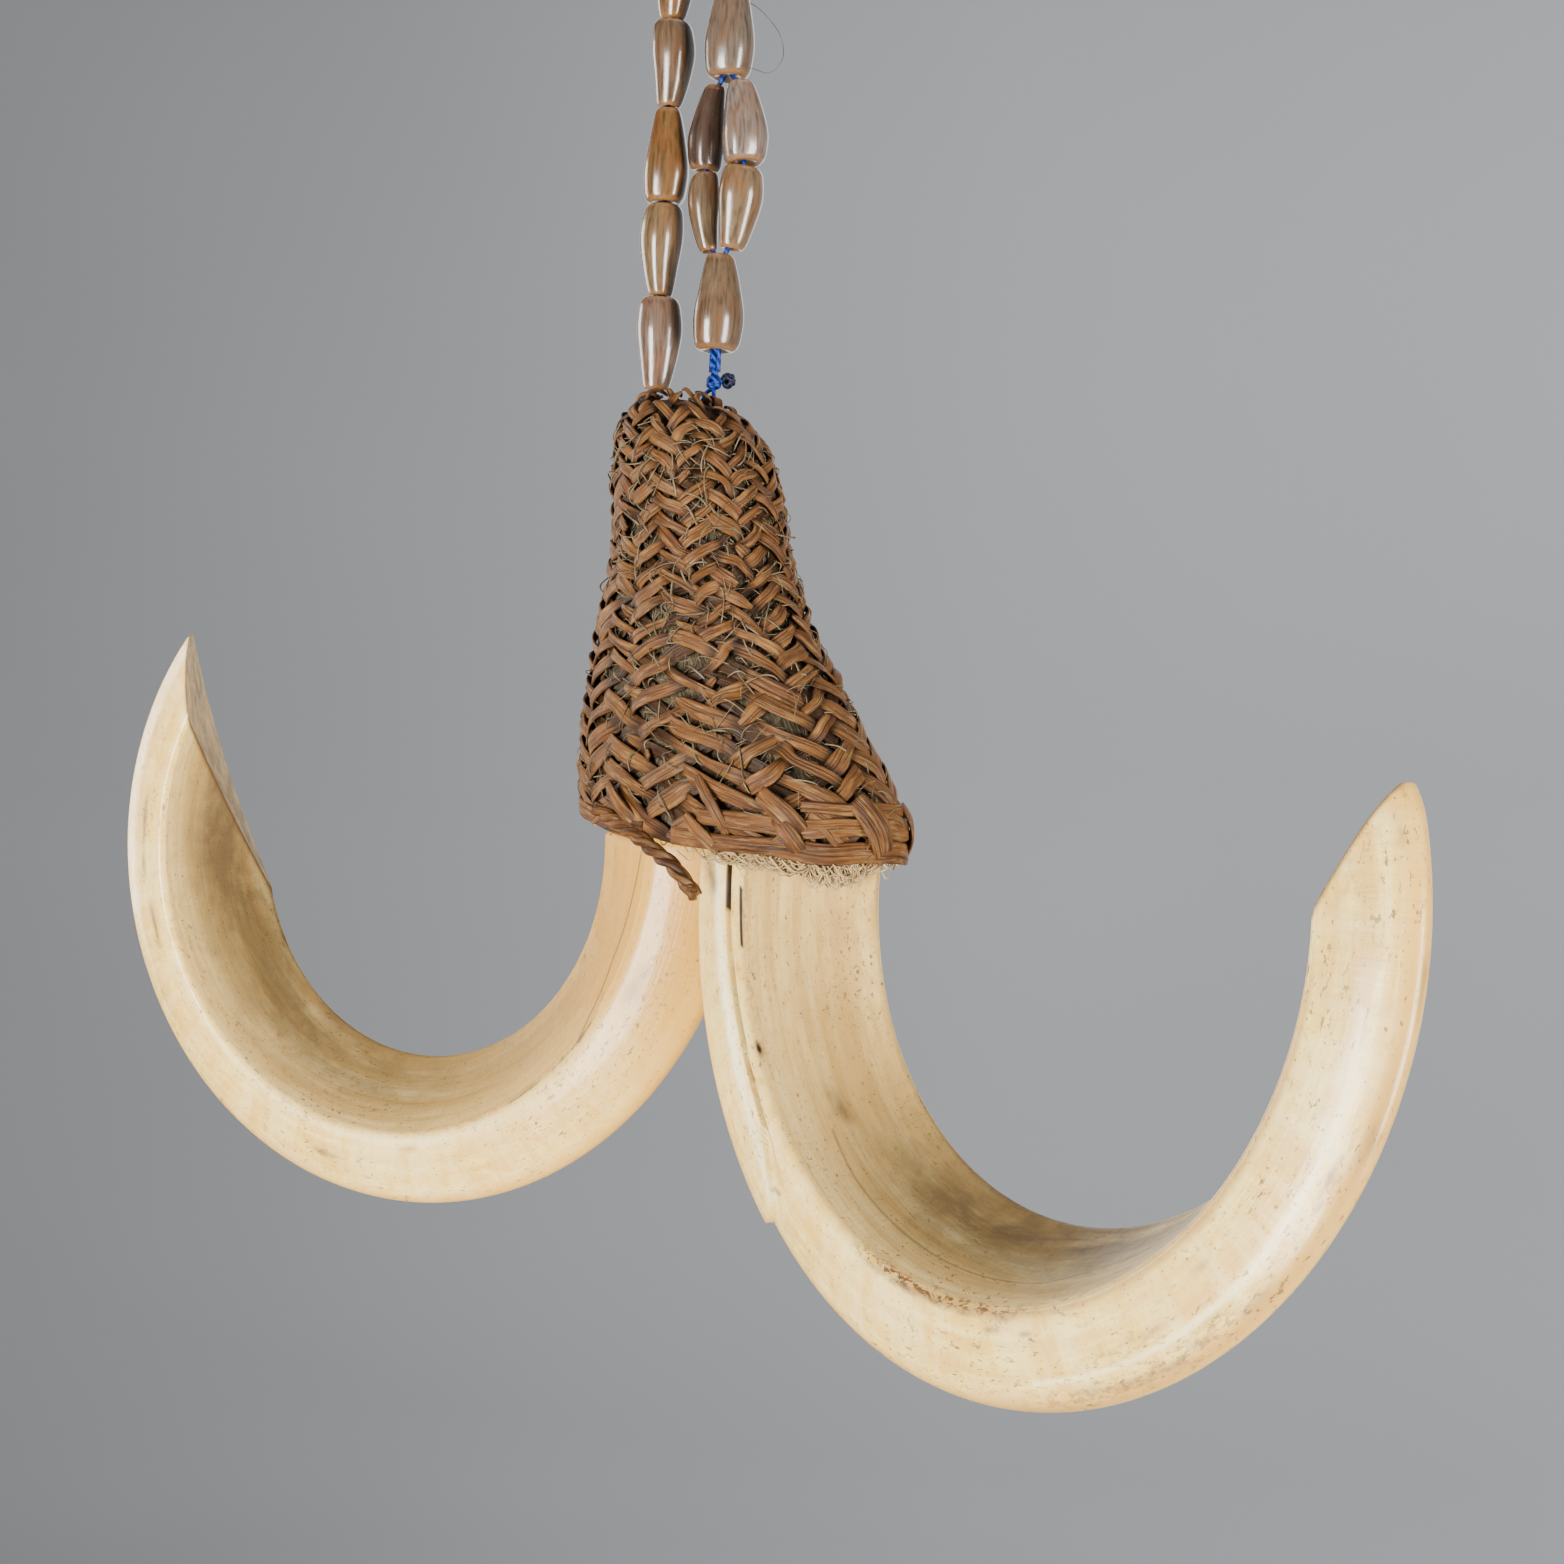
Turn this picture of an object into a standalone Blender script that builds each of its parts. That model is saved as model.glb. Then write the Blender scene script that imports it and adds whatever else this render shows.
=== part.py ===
"""Boar tusk ornament: two tusks bound root to root under a plaited vine cap, hung from strands of seed beads.

Blender 4.5, metres, +Z up. The origin is inside the top of the hanging loop. +X runs from the left tusk to the
right one, and -Y is the front.
"""

import math

import bmesh
import bpy
import numpy as np
from mathutils import Matrix, Vector

MM = 0.001

# Where everything hangs, in mm: heights are counted from the cap's rim until the pieces are placed
LOOP_TOP_HEIGHT = 155.0
HANG_X = -12.3
HANG_Y = -4.4
GAP = 0.3

# The tusk's centre line is a flat spiral that starts downwards and curls outwards and up, in mm
SPIRAL_RADIUS_ROOT = 58.4
SPIRAL_RADIUS_TIP = 44.0
SPIRAL_RADIUS_DIP = 4.3
TUSK_LENGTH = {"left": 183.5, "right": 172.8}
TUSK_HIDDEN_ROOT = {"left": 14.0, "right": 12.0}
TUSK_SIZE = {"left": 1.0, "right": 1.02}
TUSK_PLACE = {"left": (-13.65, 4.6, -3.4), "right": (10.5, -1.2, 3.5)}
TUSK_LEAN = {"left": 5.8, "right": -3.0}
TUSK_YAW = {"left": 13.0, "right": 14.0}
TUSK_TILT = {"left": 1.9, "right": -7.2}
TUSK_TWIST = 1.5
SIDE_SIGN = {"left": -1, "right": 1}

# The tusk's three-sided section, as (towards the curl's centre, towards the front), at the root and the tip
OUTER_EDGE = ((-12.4, 6.0), (-12.4, 5.8))
FRONT_RIDGE = ((1.9, 11.2), (2.8, 10.4))
BACK_EDGE = ((17.3, -1.8), (11.6, -17.0))
FRONT_FACE_BULGE = (1.3, 1.3)
CONCAVE_FACE_BULGE = (0.0, -0.5)
BACK_FACE_BULGE = (7.0, 2.5)
EDGE_ROUNDING = (2.6, 1.3, 2.4)
TAPER = 0.24
TAPER_WAIST = 0.07
TIP_ROUNDING = 5.0
ROOT_ROUNDING = 5.0
ROOT_TAPER_START = {"left": 0.0, "right": 4.0}
ROOT_TAPER = 0.04
ROOT_END_SIZE = 0.55
TIP_END_SIZE = 0.15
TIP_CENTRE = 0.24
TUSK_STATIONS = 39
END_STATIONS = (0.06, 0.2, 0.5)
SIDE_POINTS = 3
SPIRAL_STEP = 1.5

# The split enamel on the outer edge of the right tusk ends this far along it, in mm
SPLIT_END = 51.0
SPLIT_STEP = 1.1
SPLIT_EDGE = 0.01

# The worn facet passes through the back edge, the front ridge and the outer edge at these parts of the length
FACET_CUTS = {"left": (0.726, 0.954, 0.985), "right": (0.81, 0.94, 1.01)}
FACET_HOLLOW = {"left": 3.5, "right": 1.5}
FACET_HALF_WIDTH = 30.0
FACET_CUT_DEPTH = 26.0
FACET_STEPS = 10
FACET_STEPS_BEFORE = 1
FACET_STEPS_AFTER = 3

# The cap as (height, half length, half depth, lean), in mm, from its rim to its top
CAP_SECTIONS = (
    (0.9, 29.8, 13.8, 0.6),
    (6.0, 29.4, 14.0, 1.3),
    (16.0, 24.4, 13.4, 4.1),
    (28.0, 18.6, 12.1, 6.6),
    (39.0, 14.0, 11.2, 7.6),
    (50.0, 12.1, 11.0, 8.9),
    (57.0, 9.7, 9.4, 10.4),
    (61.0, 6.0, 5.9, 11.7),
    (62.4, 2.2, 2.2, 12.1),
)
CAP_YAW = -6.0
CAP_CENTRE = (0.2, -1.6)
CAP_LEAN_DIRECTION = (-1.0, -0.35)
CAP_WALL = 1.7
CROWN_WALL = 1.2
CAP_CURVE_POINTS = 240
WEAVE_COLUMNS = 20
WEAVE_ROWS = 15
WEAVE_SPAN = (0.02, 0.985)
WEAVE_RISE = 3.2
WEAVE_FADE = 6.0
STRIP_RELIEF = 0.45
COLUMN_RELIEF = 0.3
RIM_SLOPE = -2.2
RIM_SAG = -1.3
RIM_FADE_HEIGHT = 18.0
RIM_BAND = ((-0.2, 0.4), (0.6, 0.0), (0.9, -1.3), (0.3, -2.4))
CAVITY_HEIGHTS = (8.0, 22.0, 38.0, 54.0)
CAVITY_TOP = 58.5
LINING_DROP = 0.4
POCKET_REACH = 12.0
POCKET_CLEARANCE = 0.4

# Beads as (bottom height, length, widest radius, broad end at the bottom), in mm
# The beads of the doubled strand also have how far their two ends stand beside the strand's middle line
LEFT_BEADS = (
    (63.6, 13.4, 3.25, False),
    (77.3, 13.2, 3.1, False),
    (90.8, 13.6, 3.3, True),
    (104.7, 12.4, 3.1, False),
    (117.4, 12.4, 3.1, False),
)
SIDE_BEADS = ((83.2, 11.3, 2.35, False, -2.0, -3.2), (94.9, 12.1, 2.5, True, -3.3, -2.1))
FRONT_BEADS = ((83.2, 11.6, 3.2, False, 2.0, 3.4), (95.2, 11.8, 3.3, True, 3.5, 2.1))
LOW_BEAD = (68.8, 13.7, 3.5, True)
HIGH_BEAD = (107.8, 13.9, 3.55, True)
BEAD_NARROW_END = 0.5
BEAD_BROAD_END = 0.62
BEAD_SIDES = 10
BORE_RADIUS = 1.0
PAIR_BORE_RADIUS = 1.5
BORE_LIP = 0.35

# A bead's outline from its narrow end to its broad one, as (part of the length, part of the radius there)
NARROW_SHOULDER = (0.07, 1.22)
BEAD_BODY = ((0.3, 0.8), (0.62, 1.0), (0.85, 0.95))
BROAD_SHOULDER = (0.97, 1.28)

# Where the strands stand, as (x, y) in mm
LEFT_STRAND = (-17.1, -5.0)
RIGHT_STRAND = (-7.3, -3.4)
PAIR_DIRECTION = (0.995, 0.1)
PAIR_TOGETHER = 0.6
PAIR_AT_BEAD_ENDS = 0.85
PAIR_ENTRY = 0.4
PAIR_EASE = 2.0
THREAD_RADIUS = 0.35
THREAD_SPACING = 2.1
ROUTE_FINENESS = 40

# Knots and the loop, in mm
LEFT_KNOT = (-18.9, -5.2, 62.3)
LEFT_THREAD_END = (-17.4, -5.0, 62.8)
RIGHT_KNOT = (-7.3, -3.4, 64.2)
KNOT_RADIUS = {"left": 0.95, "right": 1.3}
TOP_KNOT_HEIGHT = 140.0
TOP_KNOT_RADIUS = 2.3
TOP_KNOT_SPREAD = 1.3
LOOP_CORD_RADIUS = 0.8
LOOP_HALF_WIDTH = 3.6
LOOP_POINTS = 16

IVORY = (0.72, 0.60, 0.42, 1.0)
VINE = (0.33, 0.17, 0.08, 1.0)
FIBRE = (0.42, 0.34, 0.23, 1.0)
BEAD = (0.27, 0.16, 0.09, 1.0)
BLUE = (0.02, 0.16, 0.55, 1.0)
NAVY = (0.015, 0.02, 0.06, 1.0)


def clear_scene():
    for old in list(bpy.data.objects):
        bpy.data.objects.remove(old, do_unlink=True)


def collection(name):
    made = bpy.data.collections.new(name)
    bpy.context.scene.collection.children.link(made)
    return made


def material(name, colour, roughness):
    made = bpy.data.materials.new(name)
    made.use_nodes = True
    shader = made.node_tree.nodes["Principled BSDF"]
    shader.inputs["Base Color"].default_value = colour
    shader.inputs["Roughness"].default_value = roughness
    return made


def placed(point):
    """A point given in mm above the rim, in metres below the hanging point."""
    return Vector((point[0] - HANG_X, point[1] - HANG_Y, point[2] - LOOP_TOP_HEIGHT)) * MM


def object_from(name, mesh, group, surface=None):
    made = bpy.data.objects.new(name, mesh)
    group.objects.link(made)
    if surface:
        mesh.materials.append(surface)
        mesh.shade_smooth()
        mesh.set_sharp_from_angle(angle=math.radians(40))
    return made


def loft(name, rings, group, surface=None):
    """A closed skin through rings of points, all with the same count, with both ends filled."""
    shape = bmesh.new()
    rows = [[shape.verts.new(point) for point in ring] for ring in rings]
    count = len(rows[0])
    for lower, upper in zip(rows, rows[1:]):
        for i in range(count):
            j = (i + 1) % count
            shape.faces.new((lower[i], lower[j], upper[j], upper[i]))
    for ring in (rows[0], rows[-1]):
        centre = shape.verts.new(sum((v.co for v in ring), Vector()) / count)
        for i in range(count):
            shape.faces.new((centre, ring[i], ring[(i + 1) % count]))
    bmesh.ops.recalc_face_normals(shape, faces=shape.faces)
    mesh = bpy.data.meshes.new(name)
    shape.to_mesh(mesh)
    shape.free()
    return object_from(name, mesh, group, surface)


def boolean(target, cutter, operation):
    change = target.modifiers.new(cutter.name, "BOOLEAN")
    change.operation = operation
    change.object = cutter
    cutter.hide_render = True
    cutter.display_type = "WIRE"


def blend(ends, share):
    return np.array(ends[0]) * (1 - share) + np.array(ends[1]) * share


def side_point(start, end, bulge, share):
    """A point on a side of the section, which bulges out by so much at its middle."""
    along = end - start
    outwards = np.array((-along[1], along[0])) / np.linalg.norm(along)
    return start + along * share + outwards * 4 * share * (1 - share) * bulge


def tusk_section(share):
    """The rounded three-sided section at this part of the length, as points (curl, front) in mm."""
    corners = [blend(edge, share) for edge in (OUTER_EDGE, FRONT_RIDGE, BACK_EDGE)]
    bulges = [
        float(blend([(side[0],), (side[1],)], share)[0])
        for side in (FRONT_FACE_BULGE, CONCAVE_FACE_BULGE, BACK_FACE_BULGE)
    ]
    points = []
    for i, corner in enumerate(corners):
        following = corners[(i + 1) % 3]
        before = corners[i - 1]
        length = np.linalg.norm(following - corner)
        start = EDGE_ROUNDING[i] / length
        end = 1 - EDGE_ROUNDING[(i + 1) % 3] / length
        back = 1 - EDGE_ROUNDING[i] / np.linalg.norm(corner - before)
        arrive = side_point(before, corner, bulges[i - 1], back)
        leave = side_point(corner, following, bulges[i], start)
        points.append(arrive * 0.25 + corner * 0.5 + leave * 0.25)
        for part in np.linspace(start, end, SIDE_POINTS + 2):
            points.append(side_point(corner, following, bulges[i], part))
    return np.array(points)


def tusk_scale(share):
    return 1 - TAPER * share - TAPER_WAIST * 4 * share * (1 - share)


def spiral(side, distance):
    """The centre line's point and heading at this distance, found by adding up short steps from the root."""
    length = TUSK_LENGTH[side]
    steps = max(2, int(abs(distance) / SPIRAL_STEP))
    heading = math.radians(TUSK_LEAN[side])
    point = np.zeros(2)
    for i in range(steps):
        share = max(0.0, (i + 0.5) / steps * distance / length)
        radius = SPIRAL_RADIUS_ROOT + (SPIRAL_RADIUS_TIP - SPIRAL_RADIUS_ROOT) * share
        radius -= SPIRAL_RADIUS_DIP * 4 * share * (1 - share)
        turn = distance / steps / radius
        middle = heading + turn / 2
        point = point + np.array((math.sin(middle), -math.cos(middle))) * distance / steps
        heading += turn
    return point, heading


def tusk_place(side):
    """The tusk's own plane: turned to the front about +Z, and tilted."""
    yaw = -SIDE_SIGN[side] * math.radians(TUSK_YAW[side])
    turn = Matrix.Rotation(yaw, 4, "Z") @ Matrix.Rotation(math.radians(TUSK_TILT[side]), 4, "X")
    return Matrix.Translation(placed(TUSK_PLACE[side])) @ turn


def tusk_point(side, distance, flat):
    """A section's point in the tusk's own plane, in metres."""
    centre, heading = spiral(side, distance)
    twist = math.radians(TUSK_TWIST)
    curl = math.cos(twist) * flat[0] - math.sin(twist) * flat[1]
    front = math.sin(twist) * flat[0] + math.cos(twist) * flat[1]
    across = centre[0] + math.cos(heading) * curl
    up = centre[1] + math.sin(heading) * curl
    return Vector((SIDE_SIGN[side] * across, -front, up)) * TUSK_SIZE[side] * MM


def rounded_end(share, end_size):
    """The size of the section this far into a rounded end, which starts at end_size."""
    return end_size + (1 - end_size) * math.sqrt(max(0.0, 1 - (1 - share) ** 2))


def tusk_ring(side, distance, swell=0.0):
    length = TUSK_LENGTH[side]
    share = min(1.0, max(0.0, distance / length))
    section = tusk_section(share) * tusk_scale(share)
    middle = section.mean(axis=0)
    into_cap = ROOT_TAPER_START[side] - distance
    if into_cap > 0:
        section = section[0] + (section - section[0]) * (1 - ROOT_TAPER * into_cap)
        middle = section.mean(axis=0)
    from_root = (distance + TUSK_HIDDEN_ROOT[side]) / ROOT_ROUNDING
    if from_root < 1:
        shrink = rounded_end(from_root, ROOT_END_SIZE)
        section = middle + (section - middle) * shrink
    to_tip = (length - distance) / TIP_ROUNDING
    if to_tip < 1:
        centre = section[0] + (middle - section[0]) * TIP_CENTRE
        shrink = rounded_end(to_tip, TIP_END_SIZE)
        section = centre + (section - centre) * shrink
    if side == "right" and distance < SPLIT_END:
        for i in (0, 1, -1):
            section[i] = section[i] + np.array((-SPLIT_STEP, 0.0))
    if swell:
        outwards = section - middle
        section = section + outwards / np.linalg.norm(outwards, axis=1)[:, None] * swell
    return [tusk_point(side, distance, flat) for flat in section]


def tusk_distances(side):
    start = -TUSK_HIDDEN_ROOT[side]
    length = TUSK_LENGTH[side]
    even = np.linspace(start, length, TUSK_STATIONS)
    ends = [start + ROOT_ROUNDING * share for share in END_STATIONS]
    ends += [length - TIP_ROUNDING * share for share in END_STATIONS]
    if side == "right":
        ends += [SPLIT_END - SPLIT_EDGE, SPLIT_END]
    return sorted(list(even) + ends)


def make_tusk(side, group, cutters, surface):
    distances = tusk_distances(side)
    tusk = loft(f"tusk_{side}", [tusk_ring(side, d) for d in distances], group, surface)
    tusk.matrix_world = tusk_place(side)
    cut_facet(side, tusk, cutters)
    return tusk


def cut_facet(side, tusk, cutters):
    """The worn face at the tip, slightly hollow, through the back edge, the front ridge and the outer edge."""
    on_back, on_ridge, on_outer = FACET_CUTS[side]
    length = TUSK_LENGTH[side]
    edges = (BACK_EDGE, FRONT_RIDGE, OUTER_EDGE)
    marks = []
    for edge, share in zip(edges, (on_back, on_ridge, on_outer)):
        flat = blend(edge, share) * tusk_scale(share)
        marks.append(tusk_point(side, length * share, flat))
    back, ridge, outer = marks
    normal = (ridge - back).cross(outer - back).normalized()
    curl_centre = tusk_point(side, length * on_back, (SPIRAL_RADIUS_TIP, 0.0))
    if normal.dot(curl_centre - back) < 0:
        normal = -normal
    along = outer - back
    across = normal.cross(along).normalized() * FACET_HALF_WIDTH * MM
    rings = []
    for step in range(-FACET_STEPS_BEFORE, FACET_STEPS + FACET_STEPS_AFTER + 1):
        share = step / FACET_STEPS
        hollow = FACET_HOLLOW[side] * 4 * max(share, 0.0) * (1 - share)
        floor = back + along * share - normal * hollow * MM
        roof = back + along * share + normal * FACET_CUT_DEPTH * MM
        rings.append([floor - across, floor + across, roof + across, roof - across])
    cutter = loft(f"facet_cut_{side}", rings, cutters)
    cutter.matrix_world = tusk_place(side)
    boolean(tusk, cutter, "DIFFERENCE")


def smooth_through(keys, count):
    """Catmull-Rom points through the keys."""
    keys = np.array(keys)
    padded = np.vstack((2 * keys[0] - keys[1], keys, 2 * keys[-1] - keys[-2]))
    found = []
    for share in np.linspace(0, len(keys) - 1, count):
        i = min(int(share), len(keys) - 2)
        t = share - i
        a, b, c, d = padded[i : i + 4]
        bend = (2 * a - 5 * b + 4 * c - d) * t**2 + (3 * b - a - 3 * c + d) * t**3
        found.append(b + ((c - a) * t + bend) / 2)
    return np.array(found)


CAP_CURVE = smooth_through(CAP_SECTIONS, CAP_CURVE_POINTS)


def cap_at_height(height):
    return [float(np.interp(height, CAP_CURVE[:, 0], CAP_CURVE[:, i])) for i in (1, 2, 3)]


def rim_shift(angle, height):
    """How far the rim's slope and sag move a point of the cap down, fading out with height."""
    fade = min(1.0, max(0.0, 1 - height / RIM_FADE_HEIGHT))
    return (RIM_SLOPE * math.cos(angle) + RIM_SAG * math.sin(angle) ** 2) * fade


def cap_point(angle, height, outwards):
    """A point of the cap's surface, this far outside its plain oval, in mm."""
    half_length, half_depth, lean = cap_at_height(height)
    across = (half_length + outwards) * math.cos(angle)
    depth = (half_depth + outwards) * math.sin(angle)
    yaw = math.radians(CAP_YAW)
    x = CAP_CENTRE[0] + lean * CAP_LEAN_DIRECTION[0] + across * math.cos(yaw) - depth * math.sin(yaw)
    y = CAP_CENTRE[1] + lean * CAP_LEAN_DIRECTION[1] + across * math.sin(yaw) + depth * math.cos(yaw)
    return placed((x, y, height + rim_shift(angle, height)))


def row_heights():
    """Heights of the weave's ridges and valleys, evenly spaced along the cap's sloping side."""
    radius = (CAP_CURVE[:, 1] + CAP_CURVE[:, 2]) / 2
    steps = np.hypot(np.diff(CAP_CURVE[:, 0]), np.diff(radius))
    along = np.concatenate(([0.0], np.cumsum(steps)))
    wanted = np.linspace(*WEAVE_SPAN, 2 * WEAVE_ROWS + 1) * along[-1]
    return np.interp(wanted, along, CAP_CURVE[:, 0])


def woven_ring(height, ridge, shear):
    """One zigzag line of the weave: two points a column, on a ridge or in a valley."""
    points = []
    count = 2 * WEAVE_COLUMNS
    for j in range(count):
        angle = 2 * math.pi * j / count
        zigzag = (1.0, 0.0, -1.0, 0.0)[j % 4]
        relief = STRIP_RELIEF if ridge else -STRIP_RELIEF
        relief += COLUMN_RELIEF if j % 2 else -COLUMN_RELIEF
        moved = height + zigzag * shear / 2
        points.append(cap_point(angle, min(moved, CAP_SECTIONS[-1][0]), relief))
    return points


def make_cap(group, surface):
    count = 2 * WEAVE_COLUMNS
    angles = [2 * math.pi * j / count for j in range(count)]
    bottom = CAP_SECTIONS[0][0]
    top = CAP_SECTIONS[-1][0]
    rings = [[cap_point(a, CAVITY_TOP, -CROWN_WALL) for a in angles]]
    for height in reversed(CAVITY_HEIGHTS):
        rings.append([cap_point(a, height, -CAP_WALL) for a in angles])
    rings.append([cap_point(a, bottom, -CAP_WALL) for a in angles])
    for outwards, drop in reversed(RIM_BAND):
        rings.append([cap_point(a, bottom, outwards) + Vector((0, 0, drop * MM)) for a in angles])
    for i, height in enumerate(row_heights()):
        fade = min(1.0, (height - bottom) / WEAVE_FADE, max(0.0, (top - height) / WEAVE_FADE))
        rings.append(woven_ring(height, i % 2 == 1, WEAVE_RISE * fade))
    return loft("woven_cap", rings, group, surface)


def make_lining(group, cutters, surface):
    """The wad of fibre that fills the cap, hollowed for the two roots."""
    count = WEAVE_COLUMNS
    angles = [2 * math.pi * j / count for j in range(count)]
    inset = -CAP_WALL - GAP
    bottom = CAP_SECTIONS[0][0]
    rings = [[cap_point(a, bottom, inset) - Vector((0, 0, LINING_DROP * MM)) for a in angles]]
    for height in CAVITY_HEIGHTS:
        rings.append([cap_point(a, height, inset) for a in angles])
    rings.append([cap_point(a, CAVITY_TOP - 2 * GAP, inset) for a in angles])
    lining = loft("fibre_lining", rings, group, surface)
    for side in SIDE_SIGN:
        distances = [d for d in tusk_distances(side) if d < POCKET_REACH]
        distances.insert(0, distances[0] - POCKET_CLEARANCE)
        rings = [tusk_ring(side, d, POCKET_CLEARANCE) for d in distances]
        cutter = loft(f"root_pocket_{side}", rings, cutters)
        cutter.matrix_world = tusk_place(side)
        boolean(lining, cutter, "DIFFERENCE")
    return lining


def turned(name, profile, sides, group, surface):
    """A closed turned shape from a profile in mm that runs down the outer side and up the bore."""
    mesh = bpy.data.meshes.new(name)
    points = [(r * MM, 0.0, z * MM) for r, z in profile]
    edges = [(i, (i + 1) % len(points)) for i in range(len(points))]
    mesh.from_pydata(points, edges, [])
    made = object_from(name, mesh, group, surface)
    screw = made.modifiers.new("turn", "SCREW")
    screw.steps = sides
    screw.render_steps = sides
    screw.use_merge_vertices = True
    screw.merge_threshold = 0.00001
    return made


def bead_profile(length, radius, bore, broad_bottom):
    """A seed's outline: a broad rounded end, a long taper and a narrow end, each dished to the bore."""
    broad = BEAD_BROAD_END * radius
    narrow = max(BEAD_NARROW_END * radius, bore + BORE_LIP)
    outline = [(narrow, 0.0), (narrow * NARROW_SHOULDER[1], length * NARROW_SHOULDER[0])]
    outline += [(radius * part, length * share) for share, part in BEAD_BODY]
    outline += [(broad * BROAD_SHOULDER[1], length * BROAD_SHOULDER[0]), (broad, length)]
    if broad_bottom:
        outline = [(r, length - z) for r, z in outline]
    outline.sort(key=lambda point: -point[1])
    return outline + [(bore, 0.0), (bore, length)]


def beside(strand, offset, height):
    """A point beside the strand's middle line, in mm."""
    return (strand[0] + offset * PAIR_DIRECTION[0], strand[1] + offset * PAIR_DIRECTION[1], height)


def make_bead(name, strand, spec, bore, group, surface):
    bottom, length, radius, broad_bottom, *ends = spec
    low, high = ends or (0.0, 0.0)
    bead = turned(name, bead_profile(length, radius, bore, broad_bottom), BEAD_SIDES, group, surface)
    start = placed(beside(strand, low, bottom))
    end = placed(beside(strand, high, bottom + length))
    bead.location = start
    bead.rotation_mode = "QUATERNION"
    bead.rotation_quaternion = (end - start).to_track_quat("Z", "Y")
    return bead


def smooth_route(stops):
    """Evenly spaced points along one smooth curve through a thread's own stops."""
    dense = smooth_through(stops, ROUTE_FINENESS * len(stops))
    along = np.concatenate(([0.0], np.cumsum(np.linalg.norm(np.diff(dense, axis=0), axis=1))))
    wanted = np.linspace(0.0, along[-1], round(along[-1] / THREAD_SPACING) + 1)
    return np.column_stack([np.interp(wanted, along, dense[:, i]) for i in range(3)])


def tube(name, points, radius, group, surface, closed=False):
    """A cord as a curve with a round bevel and filled ends."""
    curve = bpy.data.curves.new(name, "CURVE")
    curve.dimensions = "3D"
    curve.bevel_depth = radius * MM
    curve.bevel_resolution = 2
    curve.use_fill_caps = not closed
    curve.materials.append(surface)
    line = curve.splines.new("POLY")
    line.points.add(len(points) - 1)
    line.use_cyclic_u = closed
    line.use_smooth = True
    for slot, point in zip(line.points, points):
        slot.co = (*placed(point), 1.0)
    made = bpy.data.objects.new(name, curve)
    group.objects.link(made)
    return made


def pair_route(beads, sign):
    """One thread of the doubled strand, from the knot on the cap to the top knot."""
    low_top = LOW_BEAD[0] + LOW_BEAD[1]
    high_top = HIGH_BEAD[0] + HIGH_BEAD[1]
    stops = [
        (RIGHT_KNOT[2] + KNOT_RADIUS["right"] + GAP, sign * PAIR_TOGETHER),
        (low_top - PAIR_EASE, sign * PAIR_TOGETHER),
        (low_top, sign * PAIR_AT_BEAD_ENDS),
    ]
    for bottom, length, _, _, low, high in beads:
        first = bottom == beads[0][0]
        last = bottom == beads[-1][0]
        stops.append((bottom, low - sign * PAIR_ENTRY if first else low))
        stops.append((bottom + length / 2, (low + high) / 2))
        stops.append((bottom + length, high - sign * PAIR_ENTRY if last else high))
    stops += [
        (HIGH_BEAD[0], sign * PAIR_AT_BEAD_ENDS),
        (HIGH_BEAD[0] + PAIR_EASE, sign * PAIR_TOGETHER),
        (high_top, sign * PAIR_TOGETHER),
    ]
    route = [beside(RIGHT_STRAND, offset, height) for height, offset in stops]
    knot_bottom = TOP_KNOT_HEIGHT - TOP_KNOT_RADIUS - GAP
    return route + [(HANG_X + TOP_KNOT_SPREAD + sign * PAIR_TOGETHER, HANG_Y, knot_bottom)]


def left_route():
    """The single thread of the left strand, straight through its beads and over to the top knot."""
    x, y = LEFT_STRAND
    knot_bottom = TOP_KNOT_HEIGHT - TOP_KNOT_RADIUS - GAP
    route = [LEFT_THREAD_END, (x, y, LEFT_BEADS[0][0] + GAP)]
    route += [(x, y, bottom + length / 2) for bottom, length, _, _ in LEFT_BEADS]
    route.append((x, y, LEFT_BEADS[-1][0] + LEFT_BEADS[-1][1]))
    return route + [(HANG_X - TOP_KNOT_SPREAD, HANG_Y, knot_bottom)]


def make_strands(group, surface):
    for i, spec in enumerate(LEFT_BEADS, 1):
        make_bead(f"bead_left_{i}", LEFT_STRAND, spec, BORE_RADIUS, group, surface)
    make_bead("bead_right_1", RIGHT_STRAND, LOW_BEAD, PAIR_BORE_RADIUS, group, surface)
    for i, spec in enumerate(FRONT_BEADS, 2):
        make_bead(f"bead_right_{i}", RIGHT_STRAND, spec, BORE_RADIUS, group, surface)
    make_bead("bead_right_4", RIGHT_STRAND, HIGH_BEAD, PAIR_BORE_RADIUS, group, surface)
    for i, spec in enumerate(SIDE_BEADS, 1):
        make_bead(f"bead_side_{i}", RIGHT_STRAND, spec, BORE_RADIUS, group, surface)


def make_threads(group, surfaces):
    tube("thread_left", smooth_route(left_route()), THREAD_RADIUS, group, surfaces["navy"])
    tube("thread_right", smooth_route(pair_route(FRONT_BEADS, 1)), THREAD_RADIUS, group, surfaces["blue"])
    tube("thread_side", smooth_route(pair_route(SIDE_BEADS, -1)), THREAD_RADIUS, group, surfaces["blue"])


def make_knot(name, place, radius, group, surface):
    shape = bmesh.new()
    bmesh.ops.create_icosphere(shape, subdivisions=1, radius=radius * MM)
    mesh = bpy.data.meshes.new(name)
    shape.to_mesh(mesh)
    shape.free()
    knot = object_from(name, mesh, group, surface)
    knot.location = placed(place)
    return knot


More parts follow.
